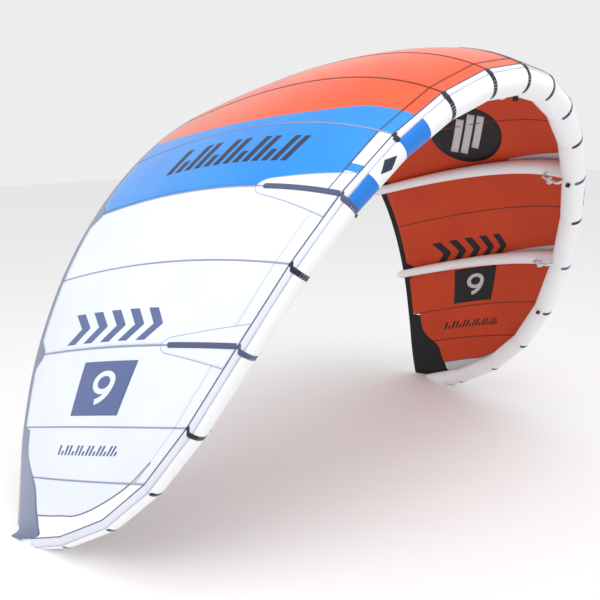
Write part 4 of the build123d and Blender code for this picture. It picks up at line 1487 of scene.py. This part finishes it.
@dataclass
class JointBands:
    """Webbing bands over the tube's joints, some with a tab onto the canopy."""

    width: float = 0.024
    end_angle: float = 240.0
    lift: float = 0.0016
    thickness: float = 0.0012
    tab_joints: tuple[int, ...] = (1, 2, 3, 5, 7)
    tab_reach: float = 0.016
    strut_joints: tuple[int, ...] = (4, 6)
    columns: int = 7

    def _rows(self, wing: Wing, joint: int) -> list[tuple[float, float]]:
        """Return the band's rows as a distance from the curve's front and a share of its width.

        Args:
            wing: the half of the kite.
            joint: the joint number.

        Returns:
            The band's rows as a distance from the curve's front and a share of its width.
        """
        radius = wing.ribs[joint].radius
        length = radius * math.radians(self.end_angle - wing.section.tangent_angle)
        reach = self.tab_reach if joint in (0, *self.tab_joints, *self.strut_joints) else -0.022
        if wing.side is Side.LEFT and joint == 3:
            length = 0.026
        places = rounded_line(length + reach, self.width / 2, 26)
        total = length + reach
        rows = []
        for place in places:
            inside = min(place, total - place) / (self.width / 2)
            part = math.sqrt(max(1 - (1 - min(inside, 1)) ** 2, 0.02))
            rows.append((reach - place, part))
        return rows

    def _point(self, wing: Wing, joints: Array, distance: float) -> Array:
        """Return points at a distance behind the curve's front, or around the tube if below 0.

        Args:
            wing: the half of the kite.
            joints: joint numbers, with fractions.
            distance: the distance in metres.

        Returns:
            Points at a distance behind the curve's front, or around the tube if below 0.
        """
        if distance >= 0:
            share = wing.share_at(float(np.abs(joints).mean()), distance)
            return wing.cloth(joints, np.full_like(joints, share), self.lift)
        radius = wing.ribs[int(round(float(np.abs(joints).mean())))].radius
        angle = wing.section.tangent_angle + math.degrees(-distance / radius)
        over = float(smooth_step(np.array((distance + 0.034) / 0.028)))
        return wing.tube(joints, angle, self.lift * 0.6 + over * (wing.section.cloth_lift + 0.0006))

    def add(self, wing: Wing, piece: Piece, joint: int, slot: int) -> None:
        """Add one joint's band to a piece.

        Args:
            wing: the half of the kite.
            piece: the piece.
            joint: the joint number.
            slot: index of the finish.
        """
        before = np.linalg.norm(wing.ribs[max(joint, 1)].centre - wing.ribs[max(joint, 1) - 1].centre)
        after = np.linalg.norm(wing.ribs[joint + 1].centre - wing.ribs[joint].centre)
        offsets = np.linspace(-self.width / 2, self.width / 2, self.columns)
        rows = []
        for distance, part in self._rows(wing, joint):
            steps = offsets * part
            joints = joint + np.where(steps < 0, steps / before, steps / after)
            rows.append(self._point(wing, joints, distance))
        grid = np.array(rows)
        centre = wing.tube_centre(np.array([float(joint)]))[0]
        piece.add(grid, grid - centre, slot)

    def build(self) -> None:
        """Build the bands of both halves and the one in the middle."""
        for side, wing in WINGS.items():
            piece = Piece(f"band_webbing_{side.label}", [WEBBING_NAVY, WEBBING_SLATE])
            for joint in range(1, wing.plan.last_rib + 1):
                self.add(wing, piece, joint, int(joint in self.strut_joints))
            settle(piece.build(self.thickness), "band_navy", f"joint_bands_{side.label}")
        middle = Piece("band_webbing_centre", [WEBBING_NAVY])
        self.add(WINGS[Side.RIGHT], middle, 0, 0)
        settle(middle.build(self.thickness), "band_navy", "joint_band_centre")


@dataclass
class StrutPatches:
    """Load strips over the struts' fronts, and the stitched patches that they lie on."""

    strip_length: float = 0.36
    strip_width: float = 0.024
    patch_length: float = 0.40
    patch_half: float = 0.112
    nose_half: float = 0.034
    inside_length: float = 0.62
    seam_width: float = 0.003
    strut_joints: tuple[int, ...] = (4, 6)
    patch_lift: float = 0.0005
    seam_lift: float = 0.0008
    strip_lift: float = 0.0018

    def outline(self, t: Array, length: float) -> Array:
        """Return the patch's half width at fractions of its length, with a rounded nose.

        Args:
            t: fractions of the patch's length.
            length: the patch's length.

        Returns:
            The patch's half width at fractions of its length, with a rounded nose.
        """
        body = self.nose_half + (self.patch_half - self.nose_half) * (1 - t) ** 1.15
        left = np.clip((1 - t) * length / 0.05, 0, 1)
        return body * np.sqrt(np.maximum(1 - (1 - left) ** 2, 1e-4))

    def _patch(
        self, wing: Wing, joint: int, face: Face, length: float
    ) -> tuple[Array, Array, Array, Array]:
        """Return a patch's grid, its ways out, and the joints and shares of its outline.

        Args:
            wing: the half of the kite.
            joint: the joint number.
            face: the face that it lies on.
            length: the patch's length.

        Returns:
            A patch's grid, its ways out, and the joints and shares of its outline.
        """
        t = 1 - (1 - np.linspace(0, 1, 40)) ** 1.6
        front = 0.012 if face is Face.OUTER else 0.0
        shares = np.array([wing.share_at(joint, front + (length - front) * float(x)) for x in t])
        half = self.outline(t, length)
        spread = np.array([wing.spacing(joint, float(share)) for share in shares])
        sides = np.linspace(-1, 1, 15)
        joints = joint + sides[None, :] * (half / spread)[:, None]
        places = np.broadcast_to(shares[:, None], joints.shape)
        grid = wing.cloth(joints, places, off_face(face, self.patch_lift))
        outward = wing.normal(joints, places) * face.value
        edge_joints = np.concatenate([joints[:, 0], joints[::-1, -1]])
        edge_shares = np.concatenate([shares, shares[::-1]])
        return grid, outward, edge_joints, edge_shares

    def build(self) -> None:
        """Build the strips and patches of every strut."""
        strips = Piece("load_strip_webbing", [WEBBING_SLATE])
        for side, wing in WINGS.items():
            # The inner patches, and the outer ones on the right half, take the darker copy of the dacron:
            # painted shade.
            outer = WHITE if side is Side.LEFT else DACRON_PAINTED_SHADE
            patches = Piece(f"strut_patches_{side.label}", [outer, DACRON_PAINTED_SHADE])
            outlines = Piece(f"strut_patch_seams_{side.label}", [SEAM_LIGHT])
            for joint in self.strut_joints:
                for face, length in ((Face.OUTER, self.patch_length), (Face.INNER, self.inside_length)):
                    grid, outward, edge_joints, edge_shares = self._patch(wing, joint, face, length)
                    patches.add(grid, outward, int(face is Face.INNER))
                    lift = off_face(face, self.seam_lift)
                    line, out = ribbon(wing, edge_joints, edge_shares, self.seam_width, lift)
                    outlines.add(line, out)
                self._strip(wing, strips, joint)
            if side is Side.RIGHT:
                self._strip(wing, strips, 0)
            settle(patches.build(0.0003), "canopy_white")
            settle(outlines.build(0.0002), "dacron_slate")
        settle(strips.build(0.0010), "dacron_slate", "load_strips")

    def _strip(self, wing: Wing, piece: Piece, joint: int) -> None:
        """Add one strut's load strip.

        Args:
            wing: the half of the kite.
            piece: the piece.
            joint: the joint number.
        """
        places = rounded_line(self.strip_length, self.strip_width / 2, 30)[6:] + 0.004
        shares = np.array([wing.share_at(joint, float(place)) for place in places])
        joints = np.full(len(shares), float(joint))
        grid, outward = ribbon(wing, joints, shares, self.strip_width, self.strip_lift)
        radius = self.strip_width / 2
        left = np.clip((places[-1] - places) / radius, 0, 1)
        part = np.sqrt(np.maximum(1 - (1 - left) ** 2, 0.02))[None, :, None]
        centre = grid[2][None]
        piece.add(centre + (grid - centre) * part, outward)


@dataclass(frozen=True)
class SeamLine:
    """A seam on the cloth."""

    joints: Array
    shares: Array
    width: float
    finish: int


@dataclass
class Seams:
    """Felled seams: narrow double cloth over every join, on both faces."""

    joint_width: float = 0.0075
    edge_width: float = 0.005
    stitch_gap: float = 0.0022
    tape_lift: float = 0.0007
    thread_lift: float = 0.0011
    points: int = 60
    front: float = 0.012
    panel_joints: tuple[int, ...] = (1, 2, 3, 4, 5, 6, 7, 8)

    def lines(self, wing: Wing) -> list[SeamLine]:
        """Return the seams of one half.

        Args:
            wing: the half of the kite.

        Returns:
            The seams.
        """
        found = []
        for joint in self.panel_joints:
            high = float(wing.hem_edge(np.array(joint)))
            light = wing.side is Side.LEFT and joint >= 3
            shares = np.linspace(self.front, high, self.points)
            joints = np.full(self.points, float(joint))
            found.append(SeamLine(joints, shares, self.joint_width, 0 if light else 2))
        for low, high, finish in self._spans(wing):
            joints = steps_between(low, high, 0.06)
            found.append(SeamLine(joints, wing.strip_edge(joints), self.edge_width * 0.7, finish))
        joints = steps_between(0.0, 10.7, 0.06)
        front = np.array([wing.share_at(float(joint), self.front) for joint in joints])
        found.append(SeamLine(joints, front, self.edge_width, 1))
        across = np.linspace(0, 1, self.points)
        joints = wing.tip_seam(across)
        found.append(SeamLine(joints, wing.between(joints, across), self.edge_width, 1))
        return found

    def _spans(self, wing: Wing) -> tuple[tuple[float, float, int], ...]:
        """Return where the seam behind the closure strip shows, and its finish.

        Args:
            wing: the half of the kite.

        Returns:
            Where the seam behind the closure strip shows, and its finish.
        """
        if wing.side is Side.LEFT:
            return ((0.0, 2.55, 2), (2.55, 4.0, 1))
        return ((0.0, 8.0, 2),)

    def build(self, wing: Wing) -> None:
        """Build the seams of one half on both faces.

        Args:
            wing: the half of the kite.
        """
        piece = Piece(f"seams_{wing.side.label}", [SEAM_LIGHT, SEAM_DARK, SEAM_ORANGE])
        for seam in self.lines(wing):
            for face in Face:
                lift = off_face(face, self.tape_lift)
                grid, outward = ribbon(wing, seam.joints, seam.shares, seam.width, lift)
                piece.add(grid[::2], outward[::2], seam.finish)
        settle(piece.build(0.0002), "dacron_slate")


@dataclass
class Stitching:
    """Rows of stitches along the seams, made by one Geometry Nodes tree."""

    pitch: float = 0.010
    length: float = 0.0065
    radius: float = 0.00045
    tube_lift: float = 0.0026
    tube_angles: tuple[float, ...] = (15.5, 12.5)

    def tree(self) -> bpy.types.NodeTree:
        """Return the tree that lays stitches along curves.

        Returns:
            The tree.
        """
        name = "stitches_along_curves"
        if name in bpy.data.node_groups:
            return bpy.data.node_groups[name]
        tree = bpy.data.node_groups.new(name, "GeometryNodeTree")
        tree.interface.new_socket("Geometry", in_out="INPUT", socket_type="NodeSocketGeometry")
        for label in ("Pitch", "Length", "Radius"):
            tree.interface.new_socket(label, in_out="INPUT", socket_type="NodeSocketFloat")
        tree.interface.new_socket("Thread", in_out="INPUT", socket_type="NodeSocketMaterial")
        tree.interface.new_socket("Geometry", in_out="OUTPUT", socket_type="NodeSocketGeometry")
        nodes = Nodes(tree)
        start, end = nodes.add("NodeGroupInput"), nodes.add("NodeGroupOutput")
        spaced = nodes.add("GeometryNodeResampleCurve", {"Curve": start.outputs["Geometry"]}, mode="LENGTH")
        tree.links.new(start.outputs["Pitch"], spaced.inputs["Length"])
        stitch = nodes.add(
            "GeometryNodeMeshCylinder",
            {"Vertices": 5, "Radius": start.outputs["Radius"], "Depth": start.outputs["Length"]},
        )
        tangent = nodes.add("GeometryNodeInputTangent")
        turn = nodes.add("FunctionNodeAlignRotationToVector", {"Vector": tangent.outputs[0]}, axis="Z")
        placed = nodes.add(
            "GeometryNodeInstanceOnPoints",
            {"Points": spaced.outputs[0], "Instance": stitch.outputs["Mesh"], "Rotation": turn.outputs[0]},
        )
        real = nodes.add("GeometryNodeRealizeInstances", {"Geometry": placed.outputs[0]})
        dressed = nodes.add(
            "GeometryNodeSetMaterial", {"Geometry": real.outputs[0], "Material": start.outputs["Thread"]}
        )
        tree.links.new(dressed.outputs[0], end.inputs["Geometry"])
        return tree

    def lay(self, name: str, lines: Sequence[Array], thread: MouldedFinish) -> bpy.types.Object:
        """Lay stitches along lines of points.

        Args:
            name: the piece's name.
            lines: the rows, each a line of points.
            thread: the thread's finish.

        Returns:
            The stitches as a plain mesh.
        """
        curve = bpy.data.curves.new(name + "_rows", "CURVE")
        curve.dimensions = "3D"
        for line in lines:
            spline = curve.splines.new("POLY")
            spline.points.add(len(line) - 1)
            spline.points.foreach_set("co", np.c_[line, np.ones(len(line))].ravel())
        rows = bpy.data.objects.new(name + "_rows", curve)
        bpy.context.scene.collection.objects.link(rows)
        modifier = rows.modifiers.new("stitches", "NODES")
        tree = self.tree()
        values = {"Pitch": self.pitch, "Length": self.length, "Radius": self.radius}
        values["Thread"] = thread.material()
        for socket in tree.interface.items_tree:
            if socket.in_out == "INPUT" and socket.name in values:
                values[socket.identifier] = values.pop(socket.name)
        modifier.node_group = tree
        for key, value in values.items():
            modifier[key] = value
        graph = bpy.context.evaluated_depsgraph_get()
        mesh = bpy.data.meshes.new_from_object(rows.evaluated_get(graph))
        bpy.data.objects.remove(rows)
        piece = bpy.data.objects.new(name, mesh)
        bpy.context.scene.collection.objects.link(piece)
        return piece

    def build(self, wing: Wing, seams: Seams) -> None:
        """Stitch the seams of one half, on both faces.

        Args:
            wing: the half of the kite.
            seams: the seams to stitch.
        """
        threads = (THREAD_BLUE, THREAD_SLATE, THREAD_RUST)
        for number, thread in enumerate(threads):
            lines = []
            for seam in seams.lines(wing):
                if seam.finish != number:
                    continue
                for face in Face:
                    for way in (-1, 1):
                        lift = off_face(face, seams.thread_lift)
                        lines.append(self._row(wing, seam, way * seams.stitch_gap, lift))
            if number == 0:
                lines += self._tube_rows(wing)
            if lines:
                piece = self.lay(f"stitches_{wing.side.label}_{thread.name}", lines, thread)
                settle(piece, "dacron_slate")

    def _row(self, wing: Wing, seam: SeamLine, offset: float, lift: float) -> Array:
        """Return one row of stitches beside a seam's middle."""
        grid, _ = ribbon(wing, seam.joints, seam.shares, 2 * abs(offset), lift)
        return grid[0 if offset < 0 else -1]

    def _tube_rows(self, wing: Wing) -> list[Array]:
        """Return the rows that hold the closure strip to the tube.

        Args:
            wing: the half of the kite.

        Returns:
            The rows that hold the closure strip to the tube.
        """
        joints = steps_between(0.0, 10.6, 0.06)
        front = wing.section.tangent_angle
        return [wing.tube(joints, front + angle, self.tube_lift) for angle in self.tube_angles]


# Prints
def four_cornered(corners: Outline, count: int = 9) -> Array:
    """Return a square grid of flat places over a four-cornered shape.

    Args:
        corners: its corners in turn.
        count: places along each side.

    Returns:
        The places, count by count by two.
    """
    a, b, c, d = np.array(corners, float)
    s, t = np.meshgrid(np.linspace(0, 1, count), np.linspace(0, 1, count), indexing="ij")
    s, t = s[..., None], t[..., None]
    return (a * (1 - s) + b * s) * (1 - t) + (d * (1 - s) + c * s) * t


@dataclass
class PrintArea:
    """Area of the cloth that takes a print.

    Its x runs forward from the trailing edge and its y up the arch.
    """

    wing: Wing
    joints: tuple[float, float]
    shares: tuple[float, float]

    def places(self, x: Array, y: Array) -> tuple[Array, Array]:
        """Return joint numbers and shares of points given in the area's units, 0 to 1."""
        joints = self.joints[1] + (self.joints[0] - self.joints[1]) * y
        return joints, self.shares[1] + (self.shares[0] - self.shares[1]) * x

    def quad(self, corners: Sequence[tuple[float, float]], count: int = 9) -> tuple[Array, Array]:
        """Return a grid of places over a four-cornered shape, given from its low corner round."""
        flat = four_cornered(corners, count)
        return self.places(flat[..., 0], flat[..., 1])

    def ring(
        self,
        centre: tuple[float, float],
        outer: tuple[float, float],
        inner: float,
        turn: tuple[float, float] = (0, 360),
    ) -> tuple[Array, Array]:
        """Return a grid of places over a ring or a part of one.

        Args:
            centre: its middle.
            outer: its outer radii along x and y.
            inner: its inner radius as a share of the outer.
            turn: the angles that it spans.
        """
        angles = np.radians(np.linspace(*turn, 49))[:, None]
        reach = np.linspace(max(inner, 0.02), 1, 8)[None, :]
        x = centre[0] + outer[0] * reach * np.cos(angles)
        y = centre[1] + outer[1] * reach * np.sin(angles)
        return self.places(x, y)


Prints = dict[Face, Piece]


@dataclass
class Graphics:
    """Plain geometric prints in the places of a kite's lettering, and its size number."""

    lift: float = 0.00035
    layer: float = 0.00025
    ink: float = 0.0002

    def _lay(
        self, pieces: Prints, area: PrintArea, spots: tuple[Array, Array], slot: int, level: int = 0
    ) -> None:
        """Lay one shape on both faces.

        Args:
            pieces: the prints in the making, one for each face.
            area: the area that it fills.
            spots: its grid of joint numbers and shares.
            slot: index of the finish.
            level: its layer above the first print.
        """
        for face, piece in pieces.items():
            lift = off_face(face, self.lift + level * self.layer)
            grid = area.wing.cloth(*spots, lift)
            piece.add(grid, area.wing.normal(*spots) * face.value, slot)

    def _bars(
        self, pieces: Prints, area: PrintArea, count: int, fill: float, slant: float, slot: int
    ) -> None:
        """Lay a row of slanted bars, with every third one short.

        Args:
            pieces: the prints in the making, one for each face.
            area: the area that it fills.
            count: how many.
            fill: a bar's share of its step.
            slant: how far its top leans forward.
            slot: index of the finish.
        """
        width = (1 - slant) / count
        for number in range(count):
            low, high = (0.0, 0.45) if number % 3 == 1 else (0.0, 1.0)
            left, right = number * width, (number + fill) * width
            shifted, raised = slant * low, slant * high
            foot, head = (left + shifted, right + shifted), (left + raised, right + raised)
            corners = [(foot[0], low), (foot[1], low), (head[1], high), (head[0], high)]
            self._lay(pieces, area, area.quad(corners), slot)

    def _chevrons(self, pieces: Prints, area: PrintArea, count: int, slot: int) -> None:
        """Lay a row of forward-pointing chevrons.

        Args:
            pieces: the prints in the making, one for each face.
            area: the area that it fills.
            count: how many.
            slot: index of the finish.
        """
        width = 1 / (count + 0.4)
        for number in range(count):
            left = number * width
            thick, point = 0.5 * width, 0.62 * width
            for low, high in ((0.0, 0.5), (1.0, 0.5)):
                tip = left + point
                corners = [(left, low), (left + thick, low), (tip + thick, high), (tip, high)]
                self._lay(pieces, area, area.quad(corners), slot)

    def _nine(self, pieces: Prints, area: PrintArea, slots: tuple[int, int]) -> None:
        """Lay the size number on its square badge.

        Args:
            pieces: the prints in the making, one for each face.
            area: the area that it fills.
            slots: indices of the ground's and the mark's finishes.
        """
        self._lay(pieces, area, area.quad([(0, 0), (1, 0), (1, 1), (0, 1)], 25), slots[0])
        loop = area.ring((0.5, 0.62), (0.21, 0.21), 0.55)
        self._lay(pieces, area, loop, slots[1], 1)
        tail = area.ring((0.36, 0.62), (0.35, 0.42), 0.73, (-78, 0))
        self._lay(pieces, area, tail, slots[1], 2)

    def _emblem(self, pieces: Prints, area: PrintArea, slots: tuple[int, int]) -> None:
        """Lay a round emblem with three diagonal bars.

        Args:
            pieces: the prints in the making, one for each face.
            area: the area that it fills.
            slots: indices of the ground's and the mark's finishes.
        """
        self._lay(pieces, area, area.ring((0.5, 0.5), (0.5, 0.5), 0.0), slots[0])
        for number, (half, reach) in enumerate(((-0.15, 0.30), (0.0, 0.36), (0.15, 0.30))):
            middle = np.array([0.5 + half, 0.5])
            along, over = np.array([0.45, 0.9]) * reach, np.array([0.045, -0.022])
            low, high = middle - along, middle + along
            corners = [low - over, low + over, high + over, high - over]
            self._lay(pieces, area, area.quad(corners), slots[1], 1)

    def build(self, wing: Wing) -> None:
        """Build the prints of one half, on both faces.

        Args:
            wing: the half of the kite.
        """
        label = wing.side.label
        dark = PRINT_SLATE if wing.side is Side.LEFT else PRINT_BLACK
        # The inner prints are darker copies painted as shade: black for the slate and navy prints, grey for the
        # white one.
        outer, inner = [dark, PRINT_NAVY, WHITE], [PRINT_BLACK, PRINT_BLACK, PRINT_WHITE_PAINTED_SHADE]
        pieces = {
            Face.OUTER: Piece(f"prints_outer_{label}", outer),
            Face.INNER: Piece(f"prints_inner_{label}", inner),
        }
        if wing.side is Side.LEFT:
            self._bars(pieces, PrintArea(wing, (3.22, 3.62), (0.27, 0.76)), 13, 0.62, 0.04, 1)
            self._chevrons(pieces, PrintArea(wing, (5.55, 5.93), (0.38, 0.83)), 5, 0)
            self._nine(pieces, PrintArea(wing, (6.17, 6.84), (0.44, 0.70)), (0, 2))
            self._bars(pieces, PrintArea(wing, (7.3, 7.48), (0.33, 0.72)), 17, 0.55, 0.02, 0)
        else:
            self._emblem(pieces, PrintArea(wing, (2.52, 3.88), (0.47, 0.75)), (0, 2))
            self._chevrons(pieces, PrintArea(wing, (5.52, 6.03), (0.49, 0.87)), 5, 0)
            self._nine(pieces, PrintArea(wing, (6.17, 6.90), (0.56, 0.78)), (0, 2))
            self._bars(pieces, PrintArea(wing, (7.4, 7.62), (0.44, 0.82)), 17, 0.55, 0.02, 0)
        for piece in pieces.values():
            settle(piece.build(self.ink), "canopy_blue")


@dataclass
class TubeMarks:
    """Small plain marks on the leading edge: a diamond badge and an upright bar."""

    lift: float = 0.0022
    wall: float = 0.0003

    def _mark(self, wing: Wing, piece: Piece, middle: tuple[float, float], corners: Outline) -> None:
        """Add a four-cornered mark on the tube, with corners as (joints, degrees) off its middle.

        Args:
            wing: the half of the kite.
            piece: the piece.
            middle: its middle, as a joint number and degrees.
            corners: its corners in turn.
        """
        flat = four_cornered(corners)
        joints, angles = middle[0] + flat[..., 0], middle[1] + flat[..., 1]
        grid = wing.tube(joints, angles, self.lift)
        piece.add(grid, grid - wing.tube_centre(joints))

    def build(self) -> None:
        """Build the marks."""
        left = Piece("tube_marks_left", [PRINT_NAVY])
        self._mark(WINGS[Side.LEFT], left, (3.3, 168), ((-0.16, 0), (0, -24), (0.16, 0), (0, 24)))
        settle(left.build(self.wall), "band_navy")
        right = Piece("tube_marks_right", [PRINT_NAVY])
        for low in (-0.20, 0.02):
            corners = ((low, -9), (low + 0.16, -9), (low + 0.16, 9), (low, 9))
            self._mark(WINGS[Side.RIGHT], right, (4.5, 160), corners)
        settle(right.build(self.wall), "band_navy")


# Fittings
@dataclass
class Fittings:
    """CAD parts that keep their shape and take a better finish."""

    finishes: tuple[tuple[str, MouldedFinish], ...] = (
        ("leading_edge_bladder", FILM),
        ("strut_bladder_", FILM),
        ("hose_clip_bodies", CLIP),
        ("hose_clip_lever_", LEVER),
        ("hose_", HOSE),
        ("valve_base", VALVE),
        ("valve_cap", VALVE_CAP),
        ("valve_check_disc", VALVE_DISC),
        ("leash_loop", LOOP),
        ("front_line_loops", LOOP),
        ("rear_line_loops", LOOP),
    )

    def dress(self) -> None:
        """Give every kept CAD part its finish."""
        for name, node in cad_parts.items():
            for prefix, finish in self.finishes:
                if name.startswith(prefix):
                    for slot in node.material_slots:
                        slot.material = finish.material()
                    if not node.material_slots:
                        node.data.materials.append(finish.material())
                    log.info("%s: %s", name, finish.name)
                    break


# Studio
@dataclass
class Studio:
    """Camera, pale floor and soft light."""

    camera_place: tuple[float, float, float] = (-3.017, -1.823, -0.116)
    yaw: float = 47.5
    pitch: float = -13.16
    roll: float = -1.33
    lens: float = 43.44
    floor_level: float = -2.18
    floor_size: float = 60.0
    world_strength: float = 0.85

    def camera(self) -> None:
        """Place the camera."""
        data = bpy.data.cameras.new("camera")
        data.lens, data.sensor_width = self.lens, 36.0
        data.clip_end = 200.0
        camera = bpy.data.objects.new("camera", data)
        yaw, pitch, roll = (math.radians(angle) for angle in (self.yaw, self.pitch, self.roll))
        ahead = Vector((math.cos(pitch) * math.cos(yaw), math.cos(pitch) * math.sin(yaw), math.sin(pitch)))
        right = Vector((math.sin(yaw), -math.cos(yaw), 0.0))
        up = right.cross(ahead)
        level = right * math.cos(roll) + up * math.sin(roll)
        tilted = up * math.cos(roll) - right * math.sin(roll)
        turn = Matrix((level, tilted, -ahead)).transposed().to_4x4()
        camera.matrix_world = Matrix.Translation(self.camera_place) @ turn
        bpy.context.scene.collection.objects.link(camera)
        bpy.context.scene.camera = camera

    def floor(self) -> None:
        """Lay a pale floor under the tips."""
        bpy.ops.mesh.primitive_plane_add(size=self.floor_size, location=(0, 0, self.floor_level))
        floor = bpy.context.object
        floor.name = "studio_floor"
        made = bpy.data.materials.new("studio_floor")
        made.use_nodes = True
        shader = made.node_tree.nodes["Principled BSDF"]
        shader.inputs["Base Color"].default_value = (0.93, 0.93, 0.93, 1)
        shader.inputs["Roughness"].default_value = 0.9
        shader.inputs["Specular IOR Level"].default_value = 0.1
        floor.data.materials.append(made)

    def lamp(
        self, name: str, place: Sequence[float], target: Sequence[float], size: float, power: float
    ) -> None:
        """Add a square soft light that faces a target.

        Args:
            name: its name.
            place: its place.
            target: the point that it faces.
            size: its side.
            power: its power in watts.
        """
        data = bpy.data.lights.new(name, "AREA")
        data.shape, data.size, data.energy = "SQUARE", size, power
        lamp = bpy.data.objects.new(name, data)
        lamp.location = place
        lamp.rotation_euler = (Vector(target) - Vector(place)).to_track_quat("-Z", "Y").to_euler()
        bpy.context.scene.collection.objects.link(lamp)

    def build(self) -> None:
        """Set the camera, floor, lights and world."""
        self.camera()
        self.floor()
        world = bpy.data.worlds.new("studio_white")
        world.use_nodes = True
        background = world.node_tree.nodes["Background"]
        background.inputs["Color"].default_value = (1, 1, 1, 1)
        background.inputs["Strength"].default_value = self.world_strength
        bpy.context.scene.world = world
        self.lamp("key", (-2.0, -2.0, 5.0), (0, 1.0, -0.6), 4.0, 220.0)
        self.lamp("side", (-6.0, 2.0, 1.2), (0, 1.0, -0.8), 3.0, 60.0)
        bpy.context.scene.view_settings.view_transform = "Standard"


# Build
def main() -> None:
    """Build the kite's cloth and trim, dress its fittings and set the studio."""
    logging.basicConfig(level=logging.INFO, format="%(name)s: %(message)s")
    canopy, front, trailing = Canopy(), FrontCloth(), TrailingEdge()
    tube, seams, stitching, graphics = LeadingEdge(), Seams(), Stitching(), Graphics()
    for wing in WINGS.values():
        canopy.build(wing)
        front.build(wing)
        trailing.build(wing)
        tube.build(wing)
        seams.build(wing)
        stitching.build(wing, seams)
        graphics.build(wing)
    for strut in STRUTS:
        strut.build()
    JointBands().build()
    StrutPatches().build()
    TubeMarks().build()
    Fittings().dress()
    Studio().build()


if __name__ == "__main__":
    main()
